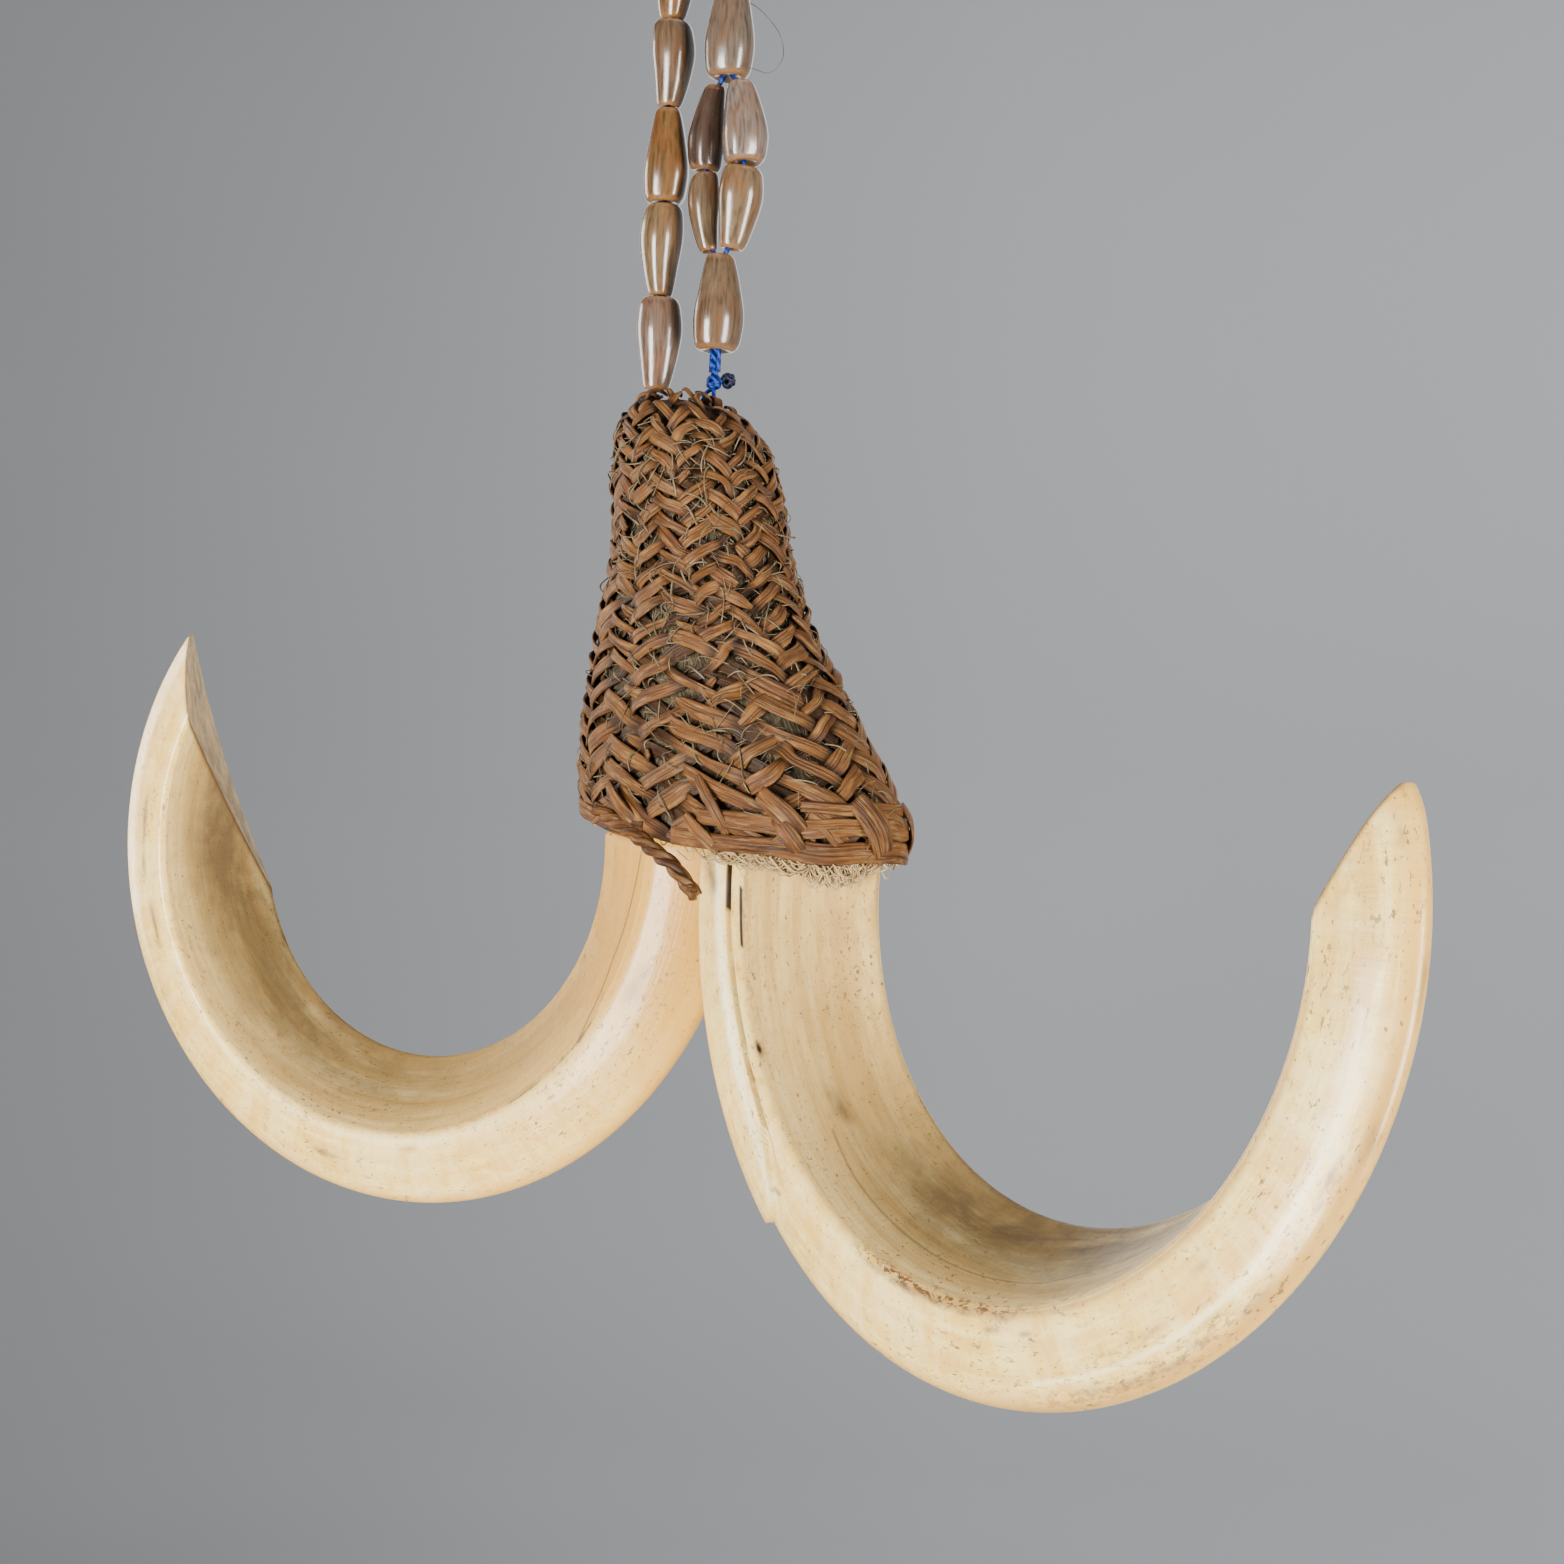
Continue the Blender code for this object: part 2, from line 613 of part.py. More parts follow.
def make_loop(group, surface):
    """The loop that the ornament hangs by: a slim closed ring of cord above the top knot."""
    half_height = (LOOP_TOP_HEIGHT + LOOP_CORD_RADIUS * 2 - TOP_KNOT_HEIGHT - TOP_KNOT_RADIUS - GAP) / 2
    middle = LOOP_TOP_HEIGHT + LOOP_CORD_RADIUS * 2 - half_height
    points = []
    for i in range(LOOP_POINTS):
        angle = 2 * math.pi * i / LOOP_POINTS
        across = LOOP_HALF_WIDTH * math.sin(angle)
        up = (half_height - LOOP_CORD_RADIUS) * math.cos(angle)
        points.append((HANG_X + across, HANG_Y, middle + up))
    tube("hanging_loop", points, LOOP_CORD_RADIUS, group, surface, closed=True)


def main():
    clear_scene()
    ornament = collection("boar_tusk_ornament")
    cutters = collection("cutters")
    cutters.hide_render = True
    surfaces = {
        "ivory": material("ivory", IVORY, 0.35),
        "vine": material("vine", VINE, 0.6),
        "fibre": material("fibre", FIBRE, 0.9),
        "bead": material("bead", BEAD, 0.25),
        "blue": material("blue_thread", BLUE, 0.6),
        "navy": material("navy_thread", NAVY, 0.7),
    }
    make_tusk("left", ornament, cutters, surfaces["ivory"])
    make_tusk("right", ornament, cutters, surfaces["ivory"])
    make_cap(ornament, surfaces["vine"])
    make_lining(ornament, cutters, surfaces["fibre"])
    make_strands(ornament, surfaces["bead"])
    make_threads(ornament, surfaces)
    make_knot("knot_left", LEFT_KNOT, KNOT_RADIUS["left"], ornament, surfaces["navy"])
    make_knot("knot_right", RIGHT_KNOT, KNOT_RADIUS["right"], ornament, surfaces["blue"])
    top = (HANG_X, HANG_Y, TOP_KNOT_HEIGHT)
    make_knot("knot_top", top, TOP_KNOT_RADIUS, ornament, surfaces["navy"])
    make_loop(ornament, surfaces["navy"])


main()
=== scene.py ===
import math

import bpy
import numpy as np
from mathutils import Matrix, Vector, noise


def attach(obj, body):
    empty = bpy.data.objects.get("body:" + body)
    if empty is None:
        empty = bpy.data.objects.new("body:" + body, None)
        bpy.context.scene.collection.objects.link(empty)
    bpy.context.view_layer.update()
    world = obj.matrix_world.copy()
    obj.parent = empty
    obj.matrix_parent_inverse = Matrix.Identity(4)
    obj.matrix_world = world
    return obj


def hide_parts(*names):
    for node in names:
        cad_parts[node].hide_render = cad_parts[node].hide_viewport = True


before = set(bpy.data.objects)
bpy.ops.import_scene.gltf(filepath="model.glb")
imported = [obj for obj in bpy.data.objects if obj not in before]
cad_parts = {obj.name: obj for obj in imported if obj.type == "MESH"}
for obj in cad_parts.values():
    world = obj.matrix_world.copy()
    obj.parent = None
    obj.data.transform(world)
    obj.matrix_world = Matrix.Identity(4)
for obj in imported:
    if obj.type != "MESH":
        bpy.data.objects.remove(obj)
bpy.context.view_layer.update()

MM = 0.001

# Heights are in mm above the cap's rim until a piece is placed below the hanging point
RIM_TO_ORIGIN = np.array((-12.3, -4.4, 155.0))


def placed(points):
    return (np.asarray(points, float) - RIM_TO_ORIGIN) * MM


def smooth_noise(count, step, seed):
    """A smooth random line between -1 and 1, with a new value every so many points."""
    keys = np.random.default_rng(seed).uniform(-1, 1, int(count / step) + 4)
    place = np.arange(count) / step
    i = place.astype(int)
    t = place - i
    t = t * t * (3 - 2 * t)
    return keys[i] * (1 - t) + keys[i + 1] * t


def unit(vectors):
    return vectors / np.maximum(np.linalg.norm(vectors, axis=-1, keepdims=True), 1e-9)


def distances_along(path):
    """The distance along a path to each of its points."""
    return np.concatenate(([0.0], np.cumsum(np.linalg.norm(np.diff(path, axis=0), axis=1))))


def curve_through(keys, count):
    """Catmull-Rom points through the keys."""
    keys = np.array(keys, float)
    padded = np.vstack((2 * keys[0] - keys[1], keys, 2 * keys[-1] - keys[-2]))
    found = []
    for share in np.linspace(0, len(keys) - 1, count):
        i = min(int(share), len(keys) - 2)
        t = share - i
        a, b, c, d = padded[i : i + 4]
        bend = (2 * a - 5 * b + 4 * c - d) * t**2 + (3 * b - a - 3 * c + d) * t**3
        found.append(b + ((c - a) * t + bend) / 2)
    return np.array(found)


def in_scene(name, data):
    made = bpy.data.objects.new(name, data)
    bpy.context.scene.collection.objects.link(made)
    return made


# Camera

PHOTO = 1564
CAMERA_AZIMUTH = math.radians(38.65)
CAMERA_TILT = math.radians(0.72)
CAMERA_ROLL = math.radians(2.65)
CAMERA_DISTANCE = 299.15
PIXELS_TO_MM = 7
FOCAL_PIXELS = PIXELS_TO_MM * CAMERA_DISTANCE
SENSOR = 36.0
AIM_PIXEL = (747.8, 833.5)


def make_camera():
    turn = (
        Matrix.Rotation(CAMERA_ROLL, 3, "Y")
        @ Matrix.Rotation(CAMERA_TILT, 3, "X")
        @ Matrix.Rotation(-CAMERA_AZIMUTH, 3, "Z")
    ).transposed()
    right, ahead, up = turn @ Vector((1, 0, 0)), turn @ Vector((0, 1, 0)), turn @ Vector((0, 0, 1))
    across = (AIM_PIXEL[0] - PHOTO / 2) / FOCAL_PIXELS * CAMERA_DISTANCE
    down = (AIM_PIXEL[1] - PHOTO / 2) / FOCAL_PIXELS * CAMERA_DISTANCE
    place = Vector(placed(-(turn @ Vector((across, CAMERA_DISTANCE, -down)))))
    made = bpy.data.cameras.new("camera")
    made.sensor_width = SENSOR
    made.lens = FOCAL_PIXELS / PHOTO * SENSOR
    made.clip_start = 0.01
    made.clip_end = 50.0
    camera = in_scene("camera", made)
    rows = [[right[i], up[i], -ahead[i], place[i]] for i in range(3)]
    camera.matrix_world = Matrix(rows + [[0, 0, 0, 1]])
    bpy.context.scene.camera = camera


make_camera()

# Node materials


class Surface:
    """A node material in the making."""

    def __init__(self, name):
        self.material = bpy.data.materials.new(name)
        self.material.use_nodes = True
        self.tree = self.material.node_tree
        self.shader = self.tree.nodes["Principled BSDF"]

    def node(self, kind, **settings):
        made = self.tree.nodes.new(kind)
        for key, value in settings.items():
            setattr(made, key, value)
        return made

    def put(self, socket, value):
        """Links an output to the socket, or sets it to a number or to a colour from 0 to 255."""
        if isinstance(value, bpy.types.NodeSocket):
            self.tree.links.new(value, socket)
        else:
            socket.default_value = rgb(value) if isinstance(value, tuple) else value

    def attribute(self, name, kind="Fac"):
        return self.node("ShaderNodeAttribute", attribute_name=name).outputs[kind]

    def math(self, operation, *values, clamp=False):
        made = self.node("ShaderNodeMath", operation=operation, use_clamp=clamp)
        for socket, value in zip(made.inputs, values):
            self.put(socket, value)
        return made.outputs[0]

    def scaled(self, vector, scale, offset=(0, 0, 0)):
        made = self.node("ShaderNodeMapping")
        self.put(made.inputs["Vector"], vector)
        made.inputs["Scale"].default_value = scale
        made.inputs["Location"].default_value = offset
        return made.outputs[0]

    def noise(self, vector, scale, detail=4.0, roughness=0.55, distortion=0.0):
        made = self.node("ShaderNodeTexNoise")
        keys = ("Vector", "Scale", "Detail", "Roughness", "Distortion")
        for key, value in zip(keys, (vector, scale, detail, roughness, distortion)):
            self.put(made.inputs[key], value)
        return made.outputs["Fac"]

    def grained(self, grain, stretch, detail, roughness=0.55, distortion=0.0, offset=(0, 0, 0)):
        """A noise stretched along a piece's grain."""
        return self.noise(self.scaled(grain, stretch, offset), 1.0, detail, roughness, distortion)

    def ramp(self, value, *stops):
        """Maps a value through (position, colour or grey) stops."""
        made = self.node("ShaderNodeValToRGB")
        self.put(made.inputs[0], value)
        line = made.color_ramp.elements
        while len(line) < len(stops):
            line.new(0.5)
        for element, (position, colour) in zip(line, stops):
            element.position = position
            element.color = (colour, colour, colour, 1) if isinstance(colour, (int, float)) else rgb(colour)
        return made.outputs[0]

    def mix(self, share, first, second):
        made = self.node("ShaderNodeMix", data_type="RGBA")
        for place, value in (("Factor", share), (6, first), (7, second)):
            self.put(made.inputs[place], value)
        return made.outputs[2]

    def layered(self, colour, layers):
        """Lays each (noise, start, end, tint) over the colour, by the ramp between start and end."""
        for value, start, end, tint in layers:
            colour = self.mix(self.ramp(value, start, end), colour, tint)
        return colour

    def bump(self, height, distance, strength=1.0, below=None):
        made = self.node("ShaderNodeBump")
        made.inputs["Distance"].default_value = distance
        made.inputs["Strength"].default_value = strength
        self.put(made.inputs["Height"], height)
        if below is not None:
            self.put(made.inputs["Normal"], below)
        return made.outputs[0]

    def finish(self, colour, roughness, normal=None, **plain):
        self.put(self.shader.inputs["Base Color"], colour)
        self.put(self.shader.inputs["Roughness"], roughness)
        if normal is not None:
            self.put(self.shader.inputs["Normal"], normal)
        for key, value in plain.items():
            self.shader.inputs[key.replace("_", " ")].default_value = value
        return self.material


def rgb(colour):
    """An sRGB colour from 0 to 255 as linear RGBA."""
    found = []
    for value in colour[:3]:
        value = value / 255
        found.append(value / 12.92 if value <= 0.04045 else ((value + 0.055) / 1.055) ** 2.4)
    return (*found, 1.0)


# Meshes


def mesh_object(name, points, faces, material, attributes=None, sharp=None):
    """A piece from points in mm above the rim."""
    mesh = bpy.data.meshes.new(name)
    mesh.from_pydata(placed(points).tolist(), [], faces)
    for key, values in (attributes or {}).items():
        values = np.asarray(values, np.float32)
        kind = {1: "FLOAT", 2: "FLOAT_VECTOR"}[values.ndim]
        layer = mesh.attributes.new(key, kind, "POINT")
        layer.data.foreach_set("value" if kind == "FLOAT" else "vector", values.ravel())
    mesh.materials.append(material)
    mesh.shade_smooth()
    if sharp:
        mesh.set_sharp_from_angle(angle=math.radians(sharp))
    return in_scene(name, mesh)


def grid_faces(rings, count, first=0, around=True, ends=True):
    """Quads between rings of points that follow each other, with a polygon over each end."""
    last = count if around else count - 1
    faces = []
    for r in range(rings - 1):
        low = first + r * count
        for i in range(last):
            j = (i + 1) % count
            faces.append((low + i, low + j, low + count + j, low + count + i))
    if ends:
        faces.append(tuple(first + i for i in reversed(range(count))))
        faces.append(tuple(first + (rings - 1) * count + i for i in range(count)))
    return faces


def frames(path, normals=None):
    """The tangent, side and normal along a path; without normals, they are carried along it."""
    tangent = unit(np.gradient(path, axis=0))
    if normals is None:
        normals = np.zeros_like(path)
        start = np.cross(tangent[0], (0.3, 0.5, 0.8))
        normals[0] = start
        for i in range(1, len(path)):
            normals[i] = normals[i - 1]
            normals[i] -= tangent[i] * np.dot(normals[i], tangent[i])
            normals[i] /= max(np.linalg.norm(normals[i]), 1e-9)
    side = unit(np.cross(tangent, normals))
    normal = unit(np.cross(side, tangent))
    return tangent, side, normal


# How far apart in mm the grain of two tubes can lie, so that no two look the same
GRAIN_SHIFT = 700
TANGLE_POINTS = 22
CORD_SIDES = 8
# How dark a tube's edges and its underside are
EDGE_SHADE = 0.4
UNDERSIDE_SHADE = 0.5


class Bundle:
    """Many tubes or ribbons gathered into one mesh."""

    def __init__(self):
        self.points, self.faces, self.grain, self.tone, self.depth = [], [], [], [], []
        self.count = 0

    def add(
        self, path, half_width, half_thick, sides, normals=None, closed=False, tone=0.5, crown=1.0, depth=0.0,
    ):
        """Widths, thicknesses and depths, the painted shade of the dips, are single numbers or one a point. A
        low crown makes it square.
        """
        path = np.asarray(path, float)
        count = len(path)
        if closed:
            wrapped = np.vstack((path[-2:], path, path[:2]))
            more = None if normals is None else np.vstack((normals[-2:], normals, normals[:2]))
            _, side, normal = frames(wrapped, more)
            side, normal = side[2:-2], normal[2:-2]
        else:
            _, side, normal = frames(path, normals)
        angle = 2 * np.pi * np.arange(sides) / sides
        across = np.sign(np.cos(angle)) * np.abs(np.cos(angle)) ** crown
        lift = np.sign(np.sin(angle)) * np.abs(np.sin(angle)) ** crown
        wide = np.broadcast_to(half_width, (count,))[:, None, None]
        thick = np.broadcast_to(half_thick, (count,))[:, None, None]
        ring = side[:, None] * across[None, :, None] * wide + normal[:, None] * lift[None, :, None] * thick
        self.points.append((path[:, None] + ring).reshape(-1, 3))
        grain = np.zeros((count, sides, 3))
        grain[..., 0] = across[None] * wide[..., 0]
        grain[..., 1] = lift[None] * thick[..., 0]
        grain[..., 2] = distances_along(path)[:, None] + tone * GRAIN_SHIFT
        self.grain.append(grain.reshape(-1, 3))
        self.tone.append(np.full(count * sides, tone))
        # Painted shade on the edges and the underside, added to the painted shade of the dips
        edge = EDGE_SHADE * np.abs(across) ** 5 + UNDERSIDE_SHADE * (lift < -0.2)
        painted_shade = np.broadcast_to(depth, (count,))[:, None] + edge[None]
        self.depth.append(np.clip(painted_shade, 0, 1).reshape(-1))
        faces = grid_faces(count, sides, self.count, ends=not closed)
        if closed:
            last = self.count + (count - 1) * sides
            for i in range(sides):
                j = (i + 1) % sides
                faces.append((last + i, last + j, self.count + j, self.count + i))
        self.faces += faces
        self.count += count * sides

    def build(self, name, material):
        # The depth attribute holds the painted shade
        attributes = {
            "grain": np.vstack(self.grain),
            "tone": np.concatenate(self.tone),
            "depth": np.concatenate(self.depth),
        }
        return mesh_object(name, np.vstack(self.points), self.faces, material, attributes)


def tangle(bundle, centre, radius, cord, turns, seed, stretch=(1, 1, 1)):
    """A ball of cord: loops that turn about changing axes round the centre."""
    rng = np.random.default_rng(seed)
    phase = rng.uniform(0, 6.3, 3)
    t = np.linspace(0, 2 * np.pi * turns, turns * TANGLE_POINTS)
    lean = t * 0.37
    axis = lean + phase[0]
    loop = np.stack((np.cos(t), np.sin(t) * np.cos(axis), np.sin(t) * np.sin(axis)), -1)
    swell = 0.86 + 0.14 * np.sin(t * 0.61 + phase[1])
    loop = loop * (radius - cord) * swell[:, None] * np.array(stretch)
    bundle.add(np.array(centre) + loop, cord, cord, CORD_SIDES, tone=float(rng.uniform(0, 1)))


def plied(bundle, path, radius, plies, pitch, closed=False):
    """Twisted strands along a path."""
    path = np.asarray(path, float)
    _, side, normal = frames(path)
    along = distances_along(path)
    if closed:
        whole = along[-1] + np.linalg.norm(path[0] - path[-1])
        pitch = whole / round(whole / pitch)
    for k in range(plies):
        turn = 2 * np.pi * (along / pitch + k / plies)
        line = path + side * (np.cos(turn) * radius / 2)[:, None]
        line = line + normal * (np.sin(turn) * radius / 2)[:, None]
        bundle.add(line, radius * 0.54, radius * 0.54, CORD_SIDES, closed=closed, tone=k / plies)


def use(piece, slot, *nodes):
    """The piece rides on the one body and stands for CAD nodes. The slot is not used."""
    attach(piece, "root")
    if nodes:
        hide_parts(*nodes)
    return piece


# Threads

GAP = 0.3
LEFT_BEADS = (
    (63.6, 13.4, 3.25, False),
    (77.3, 13.2, 3.1, False),
    (90.8, 13.6, 3.3, True),
    (104.7, 12.4, 3.1, False),
    (117.4, 12.4, 3.1, False),
)
SIDE_BEADS = ((83.2, 11.3, 2.35, False, -2.0, -3.2), (94.9, 12.1, 2.5, True, -3.3, -2.1))
FRONT_BEADS = ((83.2, 11.6, 3.2, False, 2.0, 3.4), (95.2, 11.8, 3.3, True, 3.5, 2.1))
LOW_BEAD = (68.8, 13.7, 3.5, True)
HIGH_BEAD = (107.8, 13.9, 3.55, True)
LEFT_STRAND = (-17.1, -5.0)
RIGHT_STRAND = (-7.3, -3.4)
PAIR_DIRECTION = (0.995, 0.1)
PAIR_TOGETHER = 0.6
PAIR_AT_BEAD_ENDS = 0.85
PAIR_ENTRY = 0.4
PAIR_EASE = 2.0
THREAD_RADIUS = 0.35
THREAD_SPACING = 2.1
ROUTE_FINENESS = 40
LEFT_KNOT = (-18.9, -5.2, 62.3)
LEFT_THREAD_END = (-17.4, -5.0, 62.8)
RIGHT_KNOT = (-7.3, -3.4, 64.2)
KNOT_RADIUS = {"left": 0.95, "right": 1.3}
TOP_KNOT_HEIGHT = 140.0
TOP_KNOT_RADIUS = 2.3
TOP_KNOT_SPREAD = 1.3
LOOP_TOP_HEIGHT = 155.0
LOOP_CORD_RADIUS = 0.8
LOOP_HALF_WIDTH = 3.6
HANG = (-12.3, -4.4)


def beside(strand, offset, height):
    return (strand[0] + offset * PAIR_DIRECTION[0], strand[1] + offset * PAIR_DIRECTION[1], height)


def pair_route(beads, sign):
    """One thread of the doubled strand, from the knot on the cap to the top knot."""
    low_top = LOW_BEAD[0] + LOW_BEAD[1]
    high_top = HIGH_BEAD[0] + HIGH_BEAD[1]
    stops = [
        (RIGHT_KNOT[2] + KNOT_RADIUS["right"] + GAP, sign * PAIR_TOGETHER),
        (low_top - PAIR_EASE, sign * PAIR_TOGETHER),
        (low_top, sign * PAIR_AT_BEAD_ENDS),
    ]
    for bottom, length, _, _, low, high in beads:
        first = bottom == beads[0][0]
        last = bottom == beads[-1][0]
        stops.append((bottom, low - sign * PAIR_ENTRY if first else low))
        stops.append((bottom + length / 2, (low + high) / 2))
        stops.append((bottom + length, high - sign * PAIR_ENTRY if last else high))
    stops += [
        (HIGH_BEAD[0], sign * PAIR_AT_BEAD_ENDS),
        (HIGH_BEAD[0] + PAIR_EASE, sign * PAIR_TOGETHER),
        (high_top, sign * PAIR_TOGETHER),
    ]
    route = [beside(RIGHT_STRAND, offset, height) for height, offset in stops]
    knot_bottom = TOP_KNOT_HEIGHT - TOP_KNOT_RADIUS - GAP
    return route + [(HANG[0] + TOP_KNOT_SPREAD + sign * PAIR_TOGETHER, HANG[1], knot_bottom)]


def left_route():
    """The single thread of the left strand, straight through its beads and over to the top knot."""
    x, y = LEFT_STRAND
    knot_bottom = TOP_KNOT_HEIGHT - TOP_KNOT_RADIUS - GAP
    route = [LEFT_THREAD_END, (x, y, LEFT_BEADS[0][0] + GAP)]
    route += [(x, y, bottom + length / 2) for bottom, length, _, _ in LEFT_BEADS]
    route.append((x, y, LEFT_BEADS[-1][0] + LEFT_BEADS[-1][1]))
    return route + [(HANG[0] - TOP_KNOT_SPREAD, HANG[1], knot_bottom)]


def smooth_route(stops):
    """Evenly spaced points along one smooth curve through a thread's own stops."""
    dense = curve_through(stops, ROUTE_FINENESS * len(stops))
    along = distances_along(dense)
    wanted = np.linspace(0.0, along[-1], round(along[-1] / THREAD_SPACING) + 1)
    return np.column_stack([np.interp(wanted, along, dense[:, i]) for i in range(3)])


def thread_surface(name, dark, light):
    s = Surface(name)
    where = s.node("ShaderNodeTexCoord").outputs["Object"]
    wave = s.node("ShaderNodeTexWave", wave_type="BANDS", bands_direction="DIAGONAL")
    s.put(wave.inputs["Vector"], where)
    wave.inputs["Scale"].default_value = 420.0
    wave.inputs["Distortion"].default_value = 1.2
    fibres = s.noise(where, 9000.0)
    share = s.math("MULTIPLY", wave.outputs["Fac"], fibres)
    colour = s.ramp(share, (0.1, dark), (0.6, light))
    return s.finish(colour, 0.5, s.bump(wave.outputs["Fac"], 0.00012, 0.8), Specular_IOR_Level=0.25)


BLUE = thread_surface("blue_thread", (2, 18, 74), (8, 64, 160))
NAVY = thread_surface("navy_thread", (6, 8, 20), (24, 34, 66))


def thread(name, route, material):
    curve = bpy.data.curves.new(name, "CURVE")
    curve.dimensions = "3D"
    curve.bevel_depth = THREAD_RADIUS * MM
    curve.bevel_resolution = 3
    curve.use_fill_caps = True
    curve.materials.append(material)
    line = curve.splines.new("POLY")
    line.points.add(len(route) - 1)
    line.use_smooth = True
    for slot, point in zip(line.points, placed(route)):
        slot.co = (*point, 1.0)
    return in_scene(name, curve)


# Beads

# Each seed's tint and how far it is bowed, in mm
BEAD_LOOKS = {
    "bead_left_1": ((89, 71, 58), 0.25),
    "bead_left_2": ((90, 71, 47), -0.3),
    "bead_left_3": ((87, 62, 33), 0.2),
    "bead_left_4": ((80, 62, 44), 0.45),
    "bead_left_5": ((92, 69, 42), 0.2),
    "bead_right_1": ((84, 67, 49), 0.2),
    "bead_right_2": ((92, 74, 52), 0.25),
    "bead_right_3": ((97, 85, 76), 0.3),
    "bead_right_4": ((82, 70, 59), 0.1),
    "bead_side_1": ((87, 69, 49), -0.5),
    "bead_side_2": ((59, 46, 38), -0.45),
}


# The dark and light streaks, blotches and specks, as shares of a seed's tint
SEED_TONES = (0.74, 1.1, (1.1, 0.86, 0.62), 0.55)
SEED_END = (132, 90, 48)
# A cleft in one seed, as its angle, half width, fade along the seed and depth
CLEFT_SEED = "bead_left_2"
CLEFT = (3.6, 0.16, 2.6, 0.3)
SEED_SIDES = 48
OUTLINE_POINTS = 46
LOBE_DEPTHS = (0.01, 0.035)
END_SHARE = 0.07


def bead_surface(name, tint):
    s = Surface(name)
    grain = s.attribute("grain", "Vector")
    streaks = s.noise(s.scaled(grain, (1.0, 1.0, 0.06)), 2.2, 3.0, 0.5)
    clouds = s.noise(s.scaled(grain, (1.0, 1.0, 0.5)), 0.32, 3.0)
    specks = s.noise(s.scaled(grain, (1.0, 1.0, 0.45)), 7.0, 2.0)
    dark, light, blotch, speck = (tuple(np.multiply(tint, share)) for share in SEED_TONES)
    colour = s.ramp(streaks, (0.36, dark), (0.5, tint), (0.68, light))
    colour = s.mix(s.ramp(clouds, (0.42, 0.0), (0.7, 0.55)), colour, blotch)
    colour = s.mix(s.ramp(specks, (0.68, 0.0), (0.78, 0.4)), colour, speck)
    colour = s.mix(s.math("MULTIPLY", s.attribute("ends"), 0.65), colour, SEED_END)
    roughness = s.ramp(streaks, (0.3, 0.2), (0.8, 0.3))
    normal = s.bump(streaks, 0.00005, 0.5)
    return s.finish(colour, roughness, normal, Coat_Weight=0.6, Coat_Roughness=0.13)


def bead_outline(length, radius, broad_bottom):
    """Points (radius, height) from the bottom dimple round the side to the top one."""
    broad, narrow = 0.62 * radius, max(0.5 * radius, 1.2)
    keys = [(0.55, 0.35), (narrow * 0.8, 0.02), (narrow, 0.12), (narrow * 1.22, 0.07 * length)]
    keys += [(radius * 0.8, 0.3 * length), (radius, 0.62 * length), (radius * 0.95, 0.85 * length)]
    keys += [(broad * 1.34, 0.962 * length), (broad * 0.95, length), (0.55, length - 0.5)]
    if broad_bottom:
        keys = [(r, length - z) for r, z in reversed(keys)]
    return curve_through(keys, OUTLINE_POINTS)


def make_bead(name, strand, spec, seed):
    bottom, length, radius, broad_bottom, *ends = spec
    low, high = ends or (0.0, 0.0)
    tint, bow = BEAD_LOOKS[name]
    outline = bead_outline(length, radius, broad_bottom)
    angle = 2 * np.pi * np.arange(SEED_SIDES) / SEED_SIDES
    start = np.array(beside(strand, low, bottom))
    end = np.array(beside(strand, high, bottom + length))
    axis = unit(end - start)
    side = unit(np.cross(axis, (0.3, -1.0, 0.0)))
    front = np.cross(side, axis)
    rng = np.random.default_rng(seed)
    lobes = rng.uniform(*LOBE_DEPTHS, 3)
    shift = rng.uniform(0, 6.3, 3)
    round_off = 1 + sum(lobes[k] * np.cos((k + 2) * angle + shift[k]) for k in range(3))
    share = outline[:, 1] / length
    middle = bow * 4 * share * (1 - share)
    ring = outline[:, :1] * round_off[None]
    if name == CLEFT_SEED:
        place, half_width, fade, deep = CLEFT
        cleft = np.exp(-(((angle - place) / half_width) ** 2))[None]
        ring = ring * (1 - deep * cleft * np.clip(1 - share * fade, 0, 1)[:, None])
    points = (
        start
        + axis * outline[:, 1][:, None, None]
        + side * (ring * np.cos(angle) + middle[:, None])[..., None]
        + front * (ring * np.sin(angle))[..., None]
    )
    heights = np.repeat(outline[:, 1:], SEED_SIDES, 1)
    grain = np.stack((ring * np.cos(angle) + seed * 31, ring * np.sin(angle), heights), -1)
    edge = np.clip(1 - np.minimum(share, 1 - share) / END_SHARE, 0, 1)
    attributes = {"grain": grain.reshape(-1, 3), "ends": np.repeat(edge, SEED_SIDES)}
    faces = grid_faces(len(outline), SEED_SIDES)
    return mesh_object(name + "_seed", points.reshape(-1, 3), faces, bead_surface(name, tint), attributes)


def make_beads():
    specs = [(f"bead_left_{i}", LEFT_STRAND, spec) for i, spec in enumerate(LEFT_BEADS, 1)]
    specs.append(("bead_right_1", RIGHT_STRAND, LOW_BEAD))
    specs += [(f"bead_right_{i}", RIGHT_STRAND, spec) for i, spec in enumerate(FRONT_BEADS, 2)]
    specs.append(("bead_right_4", RIGHT_STRAND, HIGH_BEAD))
    specs += [(f"bead_side_{i}", RIGHT_STRAND, spec) for i, spec in enumerate(SIDE_BEADS, 1)]
    for seed, (name, strand, spec) in enumerate(specs):
        use(make_bead(name, strand, spec, seed), "seed_bead", name)


make_beads()

# Tusks

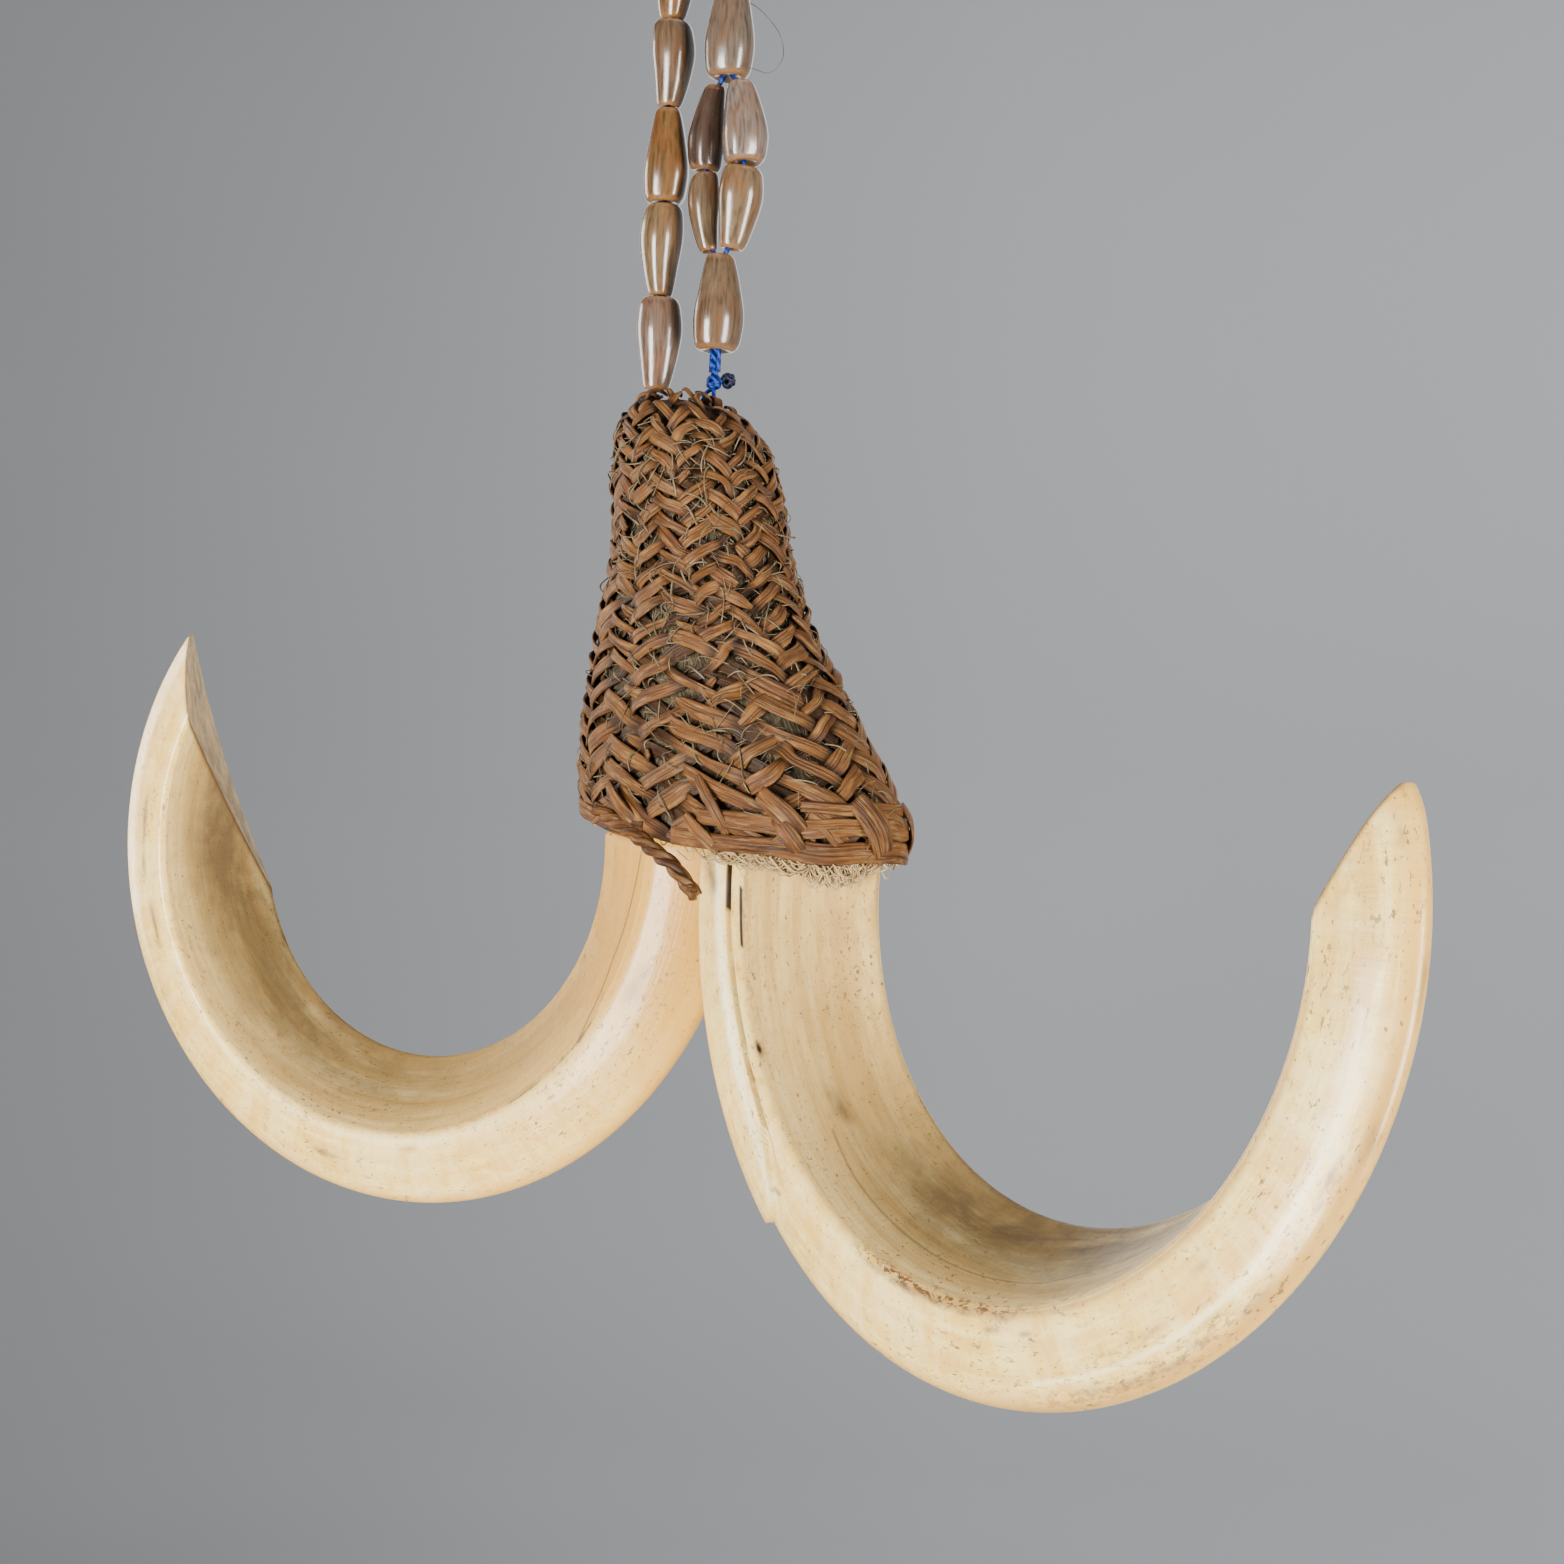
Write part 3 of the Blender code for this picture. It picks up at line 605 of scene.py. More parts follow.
SPIRAL_RADIUS_ROOT = 58.4
SPIRAL_RADIUS_TIP = 44.0
SPIRAL_RADIUS_DIP = 4.3
TUSK_LENGTH = {"left": 183.5, "right": 172.8}
TUSK_HIDDEN_ROOT = {"left": 14.0, "right": 12.0}
TUSK_SIZE = {"left": 1.0, "right": 1.02}
TUSK_PLACE = {"left": (-13.65, 4.6, -3.4), "right": (10.5, -1.2, 3.5)}
TUSK_LEAN = {"left": 5.8, "right": -3.0}
TUSK_YAW = {"left": 13.0, "right": 14.0}
TUSK_TILT = {"left": 1.9, "right": -7.2}
TUSK_TWIST = 1.5
SIDE_SIGN = {"left": -1, "right": 1}
OUTER_EDGE = ((-12.4, 6.0), (-12.4, 5.8))
FRONT_RIDGE = ((1.9, 11.2), (2.8, 10.4))
BACK_EDGE = ((17.3, -1.8), (11.6, -17.0))
FACE_BULGES = ((1.3, 1.3), (0.0, -0.5), (7.0, 2.5))
EDGE_ROUNDING = (2.6, 1.3, 2.4)
TAPER = 0.24
TAPER_WAIST = 0.07
TIP_ROUNDING = 5.0
TIP_END_SIZE = 0.15
TIP_CENTRE = 0.24
ROOT_ROUNDING = 5.0
ROOT_TAPER_START = {"left": 0.0, "right": 4.0}
ROOT_TAPER = 0.04
SPLIT_END = 51.0
SPLIT_STEP = 1.1
FACET_CUTS = {"left": (0.726, 0.954, 0.985), "right": (0.81, 0.94, 1.01)}
FACET_HOLLOW = {"left": 3.5, "right": 1.5}
# Where the split enamel's inner edge runs on the right tusk, as distances and parts of the face
FLAKE_EDGE = ((-12.0, 32.0, 40.0, 47.0, 53.0), (0.9, 0.92, 0.9, 0.84, 0.66))
FLAKE_TONGUE = 0.3
FLAKE_TONGUE_LENGTH = 1.4
FLAKE_TONGUE_BEND = 26.0
FLAKE_BEHIND = 0.3
BRINK_WIDTH = 0.35
# The worn facet lies past this part of the length
FACET_FROM = 0.6
RING_STEP, FINE_STEP, FINEST_STEP = 0.75, 0.4, 0.25
FINE_FROM = 0.7
TIP_STRETCH = 12
CORNER_POINTS = 9
FACE_POINTS = (64, 96, 22)


def blend(ends, share):
    return np.array(ends[0]) * (1 - share) + np.array(ends[1]) * share


def side_point(start, end, bulge, share):
    along = end - start
    outwards = np.array((-along[1], along[0])) / np.linalg.norm(along)
    share = np.asarray(share)[..., None]
    return start + along * share + outwards * 4 * share * (1 - share) * bulge


def tusk_section(share):
    """The rounded three-sided section, with how far round each point is: 0, 1 and 2 at the three edges."""
    corners = [blend(edge, share) for edge in (OUTER_EDGE, FRONT_RIDGE, BACK_EDGE)]
    bulges = [float(a * (1 - share) + b * share) for a, b in FACE_BULGES]
    points, around = [], []
    for i, corner in enumerate(corners):
        following, before = corners[(i + 1) % 3], corners[i - 1]
        start = EDGE_ROUNDING[i] / np.linalg.norm(following - corner)
        back = 1 - EDGE_ROUNDING[i] / np.linalg.norm(corner - before)
        end = 1 - EDGE_ROUNDING[(i + 1) % 3] / np.linalg.norm(following - corner)
        arrive = side_point(before, corner, bulges[i - 1], back)
        leave = side_point(corner, following, bulges[i], start)
        t = (np.arange(CORNER_POINTS) / CORNER_POINTS)[:, None]
        points.append(arrive * (1 - t) ** 2 + corner * 2 * t * (1 - t) + leave * t * t)
        around.append(i + np.linspace(back - 1, start, CORNER_POINTS, endpoint=False))
        shares = np.linspace(start, end, FACE_POINTS[i], endpoint=False)
        points.append(side_point(corner, following, bulges[i], shares))
        around.append(i + shares)
    return np.vstack(points), np.concatenate(around)


def tusk_scale(share):
    return 1 - TAPER * share - TAPER_WAIST * 4 * share * (1 - share)


def spiral_table(side):
    """Distances, points and headings along the centre line."""
    length = TUSK_LENGTH[side]
    step = 0.25
    forward = np.arange(0, length + step, step)
    share = (forward + step / 2) / length
    radius = SPIRAL_RADIUS_ROOT + (SPIRAL_RADIUS_TIP - SPIRAL_RADIUS_ROOT) * share
    radius = radius - SPIRAL_RADIUS_DIP * 4 * share * (1 - share)
    lean = math.radians(TUSK_LEAN[side])
    heading = lean + np.concatenate(([0.0], np.cumsum(step / radius)))[: len(forward)]
    middle = heading + step / 2 / radius
    moves = np.stack((np.sin(middle), -np.cos(middle)), -1) * step
    points = np.vstack(((0.0, 0.0), np.cumsum(moves, axis=0)))[: len(forward)]
    behind = np.arange(-TUSK_HIDDEN_ROOT[side], 0, step)
    turned = lean + behind / SPIRAL_RADIUS_ROOT
    back = np.stack((math.cos(lean) - np.cos(turned), math.sin(lean) - np.sin(turned)), -1)
    back = SPIRAL_RADIUS_ROOT * back
    return np.concatenate((behind, forward)), np.vstack((back, points)), np.concatenate((turned, heading))


class Tusk:
    """One tusk's fine skin, ring by ring, in mm in its own plane."""

    def __init__(self, side):
        self.side = side
        self.length = TUSK_LENGTH[side]
        self.table = spiral_table(side)
        turn = Matrix.Rotation(-SIDE_SIGN[side] * math.radians(TUSK_YAW[side]), 3, "Z")
        turn = turn @ Matrix.Rotation(math.radians(TUSK_TILT[side]), 3, "X")
        self.turn = np.array(turn)

    def lift(self, distance, flat):
        """Points (curl, front) of the section at this distance, in the tusk's own plane."""
        distances, centres, headings = self.table
        centre = [np.interp(distance, distances, centres[:, k]) for k in (0, 1)]
        heading = float(np.interp(distance, distances, headings))
        twist = math.radians(TUSK_TWIST)
        curl = math.cos(twist) * flat[..., 0] - math.sin(twist) * flat[..., 1]
        front = math.sin(twist) * flat[..., 0] + math.cos(twist) * flat[..., 1]
        across = centre[0] + math.cos(heading) * curl
        up = centre[1] + math.sin(heading) * curl
        return np.stack((SIDE_SIGN[self.side] * across, -front, up), -1) * TUSK_SIZE[self.side]

    def world(self, points):
        return points @ self.turn.T + np.array(TUSK_PLACE[self.side])

    def flake(self, distance, around):
        """How far the split enamel stands proud, and how dark the line along its edge is: a crack with
        painted shadow of the step.
        """
        if self.side == "left":
            return np.zeros_like(around), np.zeros_like(around)
        wrapped = np.where(around > 2.3, around - 3, around)
        edge = np.interp(distance, *FLAKE_EDGE)
        end = SPLIT_END + FLAKE_TONGUE_LENGTH - FLAKE_TONGUE_BEND * (wrapped - FLAKE_TONGUE) ** 2
        inside = (wrapped < edge) & (wrapped > -FLAKE_BEHIND) & (distance < end)
        fade = np.clip((wrapped + FLAKE_BEHIND) / 0.2, 0, 1)
        swell = 0.5 + 0.5 * np.exp(-((wrapped / 0.35) ** 2))
        proud = np.where(inside, SPLIT_STEP * swell * fade, 0.0)
        # A dark line at the split's edge: partly the crack, partly painted shadow of the step
        crack_and_shadow = 0.5 * np.exp(-(((wrapped - edge - 0.01) / 0.01) ** 2)) * (distance < SPLIT_END + 1.5)
        return proud, crack_and_shadow

    def section(self, distance):
        length = self.length
        share = min(1.0, max(0.0, distance / length))
        flat, around = tusk_section(share)
        flat = flat * tusk_scale(share)
        outer = flat[np.argmin(np.abs(around))]
        into_cap = ROOT_TAPER_START[self.side] - distance
        if into_cap > 0:
            flat = outer + (flat - outer) * (1 - ROOT_TAPER * into_cap)
        middle = flat.mean(axis=0)
        from_root = (distance + TUSK_HIDDEN_ROOT[self.side]) / ROOT_ROUNDING
        if from_root < 1:
            flat = middle + (flat - middle) * (0.55 + 0.45 * math.sqrt(max(0.0, 1 - (1 - from_root) ** 2)))
        to_tip = (length - distance) / TIP_ROUNDING
        if to_tip < 1:
            centre = outer + (middle - outer) * TIP_CENTRE
            shrink = TIP_END_SIZE + (1 - TIP_END_SIZE) * math.sqrt(max(0.0, 1 - (1 - to_tip) ** 2))
            flat = centre + (flat - centre) * shrink
        proud, crack_and_shadow = self.flake(distance, around)
        following = np.roll(flat, -1, axis=0) - np.roll(flat, 1, axis=0)
        outwards = unit(np.stack((-following[:, 1], following[:, 0]), -1))
        flat = flat + outwards * (proud - 0.35 * crack_and_shadow)[:, None]
        return flat, around, crack_and_shadow

    def facet(self):
        """A point at the worn face's back edge, the vector from there to its outer edge, and its normal."""
        marks = []
        for edge, share in zip((BACK_EDGE, FRONT_RIDGE, OUTER_EDGE), FACET_CUTS[self.side]):
            marks.append(self.lift(self.length * share, blend(edge, share) * tusk_scale(share)))
        back, ridge, outer = marks
        normal = unit(np.cross(ridge - back, outer - back))
        towards = self.lift(self.length * FACET_CUTS[self.side][0], np.array((SPIRAL_RADIUS_TIP, 0.0)))
        if np.dot(normal, towards - back) < 0:
            normal = -normal
        return back, outer - back, normal

    def over_facet(self, points, facet):
        """How far above the hollowed worn face each point is, in mm."""
        back, along, normal = facet
        share = (points - back) @ along / np.dot(along, along)
        hollow = FACET_HOLLOW[self.side] * 4 * np.maximum(share, 0) * (1 - share)
        height = (points - back) @ normal + hollow
        return np.where(share > -0.1, height, -1.0)

    def skin(self):
        """Points, attributes and the ring size, with the facet cut ring by ring."""
        facet = self.facet()
        rings = []
        for distance in self.ring_distances():
            flat, around, crack_and_shadow = self.section(distance)
            points = self.lift(distance, flat)
            over = self.over_facet(points, facet)
            near_tip = distance >= self.length * FACET_FROM
            cut = (over > 0) & near_tip
            if cut.all() or over.min() > -0.15 and cut.any():
                break
            if cut.any():
                points, flat = self.clip(points, flat, over, cut, facet)
            straight = np.column_stack((flat, np.full(len(flat), distance)))
            brink = np.exp(-((over / BRINK_WIDTH) ** 2)) * near_tip
            rings.append((points, straight, around, cut.astype(float), crack_and_shadow, brink))
        points, *values = (np.concatenate(rows) for rows in zip(*rings))
        attributes = dict(zip(("straight", "around", "worn", "crack_and_shadow", "brink"), values))
        return self.world(points), attributes, len(rings[0][0]), len(rings)

    def ring_distances(self):
        """Where the rings lie, closer together at the tip and at the end of the split enamel."""
        fine, finest = self.length * FINE_FROM, self.length - TIP_STRETCH
        stretches = [(-TUSK_HIDDEN_ROOT[self.side], fine, RING_STEP), (fine, finest, FINE_STEP)]
        stretches.append((finest, self.length, FINEST_STEP))
        if self.side == "right":
            stretches.append((SPLIT_END - 4, SPLIT_END + 4, FINEST_STEP))
        distances = np.concatenate([np.arange(*stretch) for stretch in stretches])
        return sorted(set(np.round(distances, 3))) + [self.length]

    def clip(self, points, flat, over, cut, facet):
        """Moves the points over the facet onto it, spread between the places where the ring crosses it."""
        count = len(points)
        first = next(i for i in range(count) if cut[i] and not cut[i - 1])
        inside = [i % count for i in range(first, first + count) if cut[i % count]]
        ends = []
        for a, b in ((first - 1, first), ((inside[-1] + 1) % count, inside[-1])):
            share = over[a] / (over[a] - over[b])
            ends.append([values[a] + (values[b] - values[a]) * share for values in (points, flat)])
        moved, moved_flat = points.copy(), flat.copy()
        for k, i in enumerate(inside):
            t = k / max(1, len(inside) - 1)
            moved[i], moved_flat[i] = (first * (1 - t) + last * t for first, last in zip(*ends))
        down = self.over_facet(moved[inside], facet)
        moved[inside] -= facet[2] * down[:, None]
        return moved, moved_flat


# Marks on the ivory as (along, around, half length, half width in parts of a face, strength)
STAINS = {
    "left": (
        (182, 0.5, 3.0, 0.8, 0.45), (87, 0.57, 1.6, 0.05, 0.9), (84, 0.6, 1.0, 0.04, 0.5),
        (70, 0.84, 1.2, 0.05, 0.45), (20, 0.8, 2.0, 0.07, 0.5), (17, 0.76, 1.5, 0.05, 0.35),
        (152, 0.66, 4.5, 0.04, 0.8), (145, 0.65, 2.0, 0.05, 0.7), (135, 0.72, 3.5, 0.05, 0.75),
        (125, 0.4, 2.5, 0.05, 0.5), (150, 1.45, 11.0, 0.13, 0.75), (142, 1.54, 8.0, 0.08, 0.75),
        (113, 1.6, 14.0, 0.16, 0.3), (88, 1.48, 10.0, 0.05, 0.35), (32, 1.01, 1.3, 0.02, 1.0),
        (29, 1.015, 0.8, 0.015, 0.9), (45, 1.03, 1.6, 0.02, 0.6), (56, 1.0, 1.2, 0.03, 0.4),
    ),
    "right": (
        (34.4, 1.045, 1.1, 0.028, 1.3), (47, 1.45, 2.2, 0.035, 0.75), (44, 1.4, 1.6, 0.02, 0.45),
        (71, 0.94, 2.0, 0.03, 0.55), (77, 0.95, 2.6, 0.035, 0.75), (83, 0.95, 2.2, 0.03, 0.7),
        (88, 0.93, 2.0, 0.03, 0.65), (94, 0.92, 1.6, 0.03, 0.55), (92, 0.82, 1.0, 0.03, 0.8),
        (97, 0.79, 0.8, 0.025, 0.7), (141, 0.11, 2.5, 0.05, 0.5), (137, 0.26, 2.2, 0.03, 0.5),
        (122, 0.67, 2.0, 0.04, 0.3), (113, 0.49, 2.5, 0.05, 0.45), (103.5, 0.22, 1.6, 0.04, 0.6),
        (112.5, 0.17, 2.2, 0.03, 0.5), (117, 0.21, 1.8, 0.03, 0.55), (108, 0.2, 1.8, 0.03, 0.5),
        (124, 0.17, 2.0, 0.04, 0.5), (120, 0.3, 2.5, 0.03, 0.4), (70, 1.72, 9.0, 0.16, 0.35),
        (88, 1.68, 9.0, 0.14, 0.4), (60, 1.58, 8.0, 0.1, 0.35), (154, 0.02, 3.0, 0.03, 0.6),
        (173, 0.5, 1.6, 0.8, 0.55), (160, 0.55, 8.0, 0.25, 0.12), (167, 0.2, 1.5, 0.04, 0.4),
    ),
}
# Hair cracks as (along, around) points with their half width in parts of a face and strength
CRACKS = {
    "left": (
        (((0, 1.15), (8, 1.2), (19, 1.22), (28, 1.12), (32, 1.03)), 0.012, 0.8),
        (((26, 1.025), (33, 1.012), (42, 1.02), (50, 1.01)), 0.008, 0.7),
    ),
    "right": (
        (((-6, 0.91), (9, 0.912), (15, 0.91)), 0.011, 1.2),
        (((50.6, 0.56), (52.6, 0.6)), 0.03, 0.7),
        (((11.5, 1.03), (15, 1.035), (20, 1.03)), 0.011, 1.8),
        (((33.6, 1.044), (34.4, 1.046), (35.3, 1.05)), 0.014, 1.8),
        (
            (
                (49, 1.33), (58, 1.29), (70, 1.285), (85, 1.285),
                (95, 1.3), (103, 1.42), (112, 1.5), (122, 1.56),
            ),
            0.008, 0.55,
        ),
    ),
}
# Stretches of crumbling and pits, as (first, last, place, half width, strength)
CRUMBS = {
    "left": (
        (30, 75, 1.02, 0.055, 0.35), (86, 104, 0.93, 0.05, 0.5),
    ),
    "right": (
        (3, 36, 1.06, 0.055, 0.45), (66, 101, 0.99, 0.055, 1.5), (92, 128, 0.2, 0.09, 0.6),
        (124, 146, 0.24, 0.06, 0.5), (100, 118, 0.45, 0.07, 0.5),
    ),
}
# Small red specks, in the way of the stains
RED_SPECKS = {
    "left": (),
    "right": ((76.5, 1.045, 1.3, 0.006, 0.9), (74.0, 1.035, 0.6, 0.012, 0.8), (77.5, 1.01, 0.5, 0.01, 0.7)),
}
# Painted gloss highlights, bright lines along the ivory, the first on the split enamel, in the way of the
# cracks
GLOSS_HIGHLIGHTS = {
    "left": ((((0, 0.95), (60, 0.93), (130, 0.93)), 0.05, 0.4),),
    "right": (
        (((-8, 0.7), (9, 0.75), (20, 0.78), (31, 0.8), (38, 0.75), (46, 0.69), (52, 0.47)), 0.075, 1.0),
        (((96, 0.36), (112, 0.36), (128, 0.36), (144, 0.4), (152, 0.45)), 0.03, 0.7),
    ),
}

# Bands of tan along the edges of the bright face, in the way of the cracks
TAN_BANDS = {
    "left": (),
    "right": (
        (((66, 0.98), (90, 0.965), (130, 0.955), (160, 0.96)), 0.06, 0.85),
        (((80, 0.08), (120, 0.1), (160, 0.1)), 0.08, 0.75),
    ),
}
TAN_FADE = 14


def between(along, first, last, fade_in, fade_out):
    """1 between two distances, fading to 0 towards both of them."""
    return np.clip((along - first) / fade_in, 0, 1) * np.clip((last - along) / fade_out, 0, 1)


def drawn(along, around, lines, fade=0.4):
    """How near each point is to the lines drawn on the tusk."""
    found = np.zeros(len(around))
    for line, half_width, strength in lines:
        distances, places = zip(*line)
        far = (around - np.interp(along, distances, places)) / half_width
        found += strength * between(along, distances[0], distances[-1], fade, fade) * np.exp(-(far**2))
    return found


def blots(along, around, spots, wander):
    """How deep in a ragged round blot each point is."""
    found = np.zeros(len(around))
    for centre, place, half_length, half_width, strength in spots:
        far = ((along - centre) / half_length) ** 2 + ((around - place) / half_width) ** 2
        found += strength * np.exp(-far * (1 + 0.9 * wander))
    return found


def ivory_marks(side, straight, around):
    """How stained, cracked, tanned and crumbly each point is, and where painted gloss highlights lie."""
    along = straight[:, 2]
    wander = np.array([noise.noise(Vector(p) * 0.35) for p in straight])
    crumbs = np.zeros(len(around))
    for first, last, place, half_width, strength in CRUMBS[side]:
        ends = between(along, first, last, 5, 8)
        crumbs += strength * ends * np.exp(-(((around - place) / half_width) ** 2))
    return {
        "stain": blots(along, around, STAINS[side], wander),
        "red": blots(along, around, RED_SPECKS[side], wander),
        "marks": drawn(along, around, CRACKS[side]),
        "painted_gloss": drawn(along, around, GLOSS_HIGHLIGHTS[side]),
        "tanned": drawn(along, around, TAN_BANDS[side], TAN_FADE),
        "crumbs": crumbs,
    }


# Noises in the ivory, as (scale across and along the grain, detail, roughness, distortion, offset)
IVORY_NOISES = {
    "streaks": ((0.5, 0.5, 0.011), 6.0, 0.62),
    "bands": ((0.2, 0.2, 0.006), 3.0, 0.5, 0.0, (3, 8, 2)),
    "fine": ((2.4, 2.4, 0.05), 4.0, 0.6),
    "clouds": ((0.11, 0.11, 0.05), 5.0, 0.65, 0.6, (2, 2, 2)),
    "mottle": ((0.34, 0.34, 0.2), 5.0, 0.7, 0.8, (4, 1, 7)),
    "rings": ((0.12, 0.12, 1.1), 4.0, 0.65),
    "bars": ((0.07, 0.07, 0.3), 4.0, 0.6, 0.3, (1, 5, 3)),
    "pores": ((2.6, 2.6, 1.2), 1.0, 0.55, 0.0, (5, 2, 8)),
    "grit": ((1.5, 1.5, 0.8), 3.0, 0.75, 0.0, (7, 3, 1)),
    "gritty_places": ((0.12, 0.12, 0.05), 2.0, 0.55, 0.0, (1, 9, 4)),
}
# Where the hollow face and the yellower edges lie round the tusk, as (part of the way round, share)
HOLLOW_FACE = ((0.0, 0.0), (0.332, 0.0), (0.35, 1.0), (0.66, 1.0), (0.69, 0.35), (1.0, 0.35))
# Where across the hollow face the painted shade and stain are darkest
HOLLOW_DEEP_SHADE = ((0.36, 0.0), (0.46, 0.7), (0.56, 1.0), (0.66, 0.8), (0.69, 0.0))
OUTER_YELLOW = ((0.0, 1.0), (0.045, 0.85), (0.1, 0.0), (0.9, 0.0), (0.96, 0.9), (1.0, 1.0))
# How yellow the ivory is along its length, and how stained its hollow face is, with painted shade, as (part
# of 200 mm, share)
YELLOWING = {
    "left": ((0.0, 0.9), (0.1, 0.8), (0.2, 0.4), (0.35, 0.15), (1.0, 0.15)),
    "right": ((0.0, 0.1), (0.3, 0.12), (0.5, 0.0), (1.0, 0.0)),
}
HOLLOW_STAIN_AND_SHADE = {
    "left": ((0.0, 0.15), (0.2, 0.3), (0.4, 0.65), (0.62, 0.85), (0.8, 0.9), (0.9, 0.7)),
    "right": ((0.0, 0.0), (0.2, 0.2), (0.34, 0.95), (0.5, 1.0), (0.58, 0.4), (0.7, 0.0)),
}
FACET_TONE = {"left": 0.9, "right": 0.3}


# The streaks of the pale enamel and of the tan dentine, as (noise, colour)
PALE_STREAKS = ((0.34, (228, 184, 86)), (0.5, (244, 210, 110)), (0.64, (253, 232, 152)))
TAN_STREAKS = ((0.34, (192, 156, 90)), (0.5, (220, 189, 120)), (0.68, (238, 214, 150)))


def pale_enamel(s, noises):
    colour = s.ramp(noises["streaks"], *PALE_STREAKS)
    colour = s.layered(colour, (
        (noises["mottle"], (0.42, 0.0), (0.62, 0.75), (224, 176, 92)),
        (noises["rings"], (0.36, 0.3), (0.5, 0.0), (218, 170, 88)),
        (noises["bars"], (0.42, 0.0), (0.64, 0.45), (255, 236, 170)),
    ))
    # Painted gloss highlights as near white lines
    return s.mix(s.attribute("painted_gloss"), colour, (254, 240, 186))


def tan_dentine(s, noises):
    colour = s.ramp(noises["streaks"], *TAN_STREAKS)
    return s.layered(colour, (
        (noises["bands"], (0.42, 0.75), (0.56, 0.0), (172, 136, 76)),
        (noises["mottle"], (0.46, 0.0), (0.66, 0.5), (184, 150, 86)),
        (noises["fine"], (0.34, 0.18), (0.5, 0.0), (150, 112, 60)),
    ))


def ivory_dirt(s, noises):
    """Grit in patches, crumbled stretches and pores, from 0 to 1."""
    places = s.ramp(noises["gritty_places"], (0.44, 0.2), (0.62, 1.0))
    dirt = s.math("MULTIPLY", s.ramp(noises["grit"], (0.6, 0.0), (0.64, 1.0)), places)
    crumbs = s.math("MULTIPLY", s.ramp(noises["grit"], (0.5, 0.0), (0.56, 1.0)), s.attribute("crumbs"))
    pores = s.ramp(noises["pores"], (0.7, 0.0), (0.74, 0.9))
    return s.math("MAXIMUM", s.math("MAXIMUM", dirt, crumbs), pores)


def ivory_surface(name, side):
    """Pale enamel on the outer face and streaked tan dentine on the hollow one, in the straightened grain."""
    s = Surface(name)
    straight = s.attribute("straight", "Vector")
    along = s.node("ShaderNodeSeparateXYZ")
    s.put(along.inputs[0], straight)
    along = s.math("DIVIDE", along.outputs[2], 200.0)
    around = s.math("DIVIDE", s.attribute("around"), 3.0)
    worn, crack_and_shadow, stain = s.attribute("worn"), s.attribute("crack_and_shadow"), s.attribute("stain")
    noises = {key: s.grained(straight, *values) for key, values in IVORY_NOISES.items()}
    streaks, mottle, clouds = noises["streaks"], noises["mottle"], noises["clouds"]
    hollow = s.ramp(around, *HOLLOW_FACE)
    outer_edge = s.ramp(around, *OUTER_YELLOW)
    colour = s.mix(hollow, pale_enamel(s, noises), tan_dentine(s, noises))
    colour = s.mix(s.math("MULTIPLY", outer_edge, 0.8), colour, (216, 168, 80))
    colour = s.mix(s.attribute("tanned"), colour, (172, 130, 62))
    colour = s.mix(s.ramp(along, *YELLOWING[side]), colour, (206, 148, 40))
    # Painted shade and stain, darkest deep in the hollow face
    shade = s.math("MULTIPLY", s.ramp(along, *HOLLOW_STAIN_AND_SHADE[side]), s.ramp(around, *HOLLOW_DEEP_SHADE))
    shade = s.math("MULTIPLY", shade, s.ramp(clouds, (0.3, 0.5), (0.55, 1.0)))
    colour = s.mix(shade, colour, (70, 59, 42))
    worn_tone = s.ramp(streaks, (0.36, (108, 80, 36)), (0.64, (180, 149, 82)))
    colour = s.mix(s.math("MULTIPLY", worn, FACET_TONE[side]), colour, worn_tone)
    colour = s.mix(s.ramp(clouds, (0.52, 0.0), (0.74, 0.35)), colour, (214, 170, 100))
    colour = s.mix(s.attribute("brink"), colour, (106, 76, 44))
    dirt = ivory_dirt(s, noises)
    colour = s.mix(s.math("MULTIPLY", dirt, 0.8), colour, (104, 70, 34))
    rough_stain = s.math("MULTIPLY", stain, s.ramp(mottle, (0.3, 0.6), (0.6, 1.35)), clamp=True)
    colour = s.mix(s.math("MULTIPLY", rough_stain, 0.85), colour, (100, 78, 48))
    colour = s.mix(s.attribute("red"), colour, (160, 48, 22))
    # Dark hair cracks, and the line at the split enamel's edge, which is partly painted shadow
    colour = s.mix(s.math("MULTIPLY", crack_and_shadow, 1.0, clamp=True), colour, (40, 24, 14))
    sheltered = s.math("SUBTRACT", 1.0, s.math("MAXIMUM", worn, hollow))
    s.put(s.shader.inputs["Coat Weight"], s.math("MULTIPLY", sheltered, 0.34))
    s.put(s.shader.inputs["Specular IOR Level"], s.math("MULTIPLY_ADD", sheltered, 0.25, 0.12))
    roughness = s.ramp(mottle, (0.3, 0.26), (0.7, 0.42))
    roughness = s.math("ADD", roughness, s.math("MULTIPLY", rough_stain, 0.2))
    normal = s.bump(noises["rings"], 0.00016, 0.55)
    normal = s.bump(dirt, 0.0001, 0.5, normal)
    normal = s.bump(noises["fine"], 0.00012, 0.5, normal)
    return s.finish(
        colour, roughness, normal, Coat_Roughness=0.12, Subsurface_Weight=0.06,
        Subsurface_Radius=(0.006, 0.004, 0.002), Subsurface_Scale=1.0,
    )


def make_tusk(side):
    tusk = Tusk(side)
    points, attributes, size, rings = tusk.skin()
    attributes.update(ivory_marks(side, attributes["straight"], attributes["around"]))
    attributes["crack_and_shadow"] += attributes.pop("marks")
    faces = grid_faces(rings, size)
    if side == "left":
        faces = [tuple(reversed(face)) for face in faces]
    surface = ivory_surface(f"ivory_{side}", side)
    use(mesh_object(f"tusk_{side}_skin", points, faces, surface, attributes, 48), "ivory", f"tusk_{side}")


make_tusk("left")
make_tusk("right")

# Cap

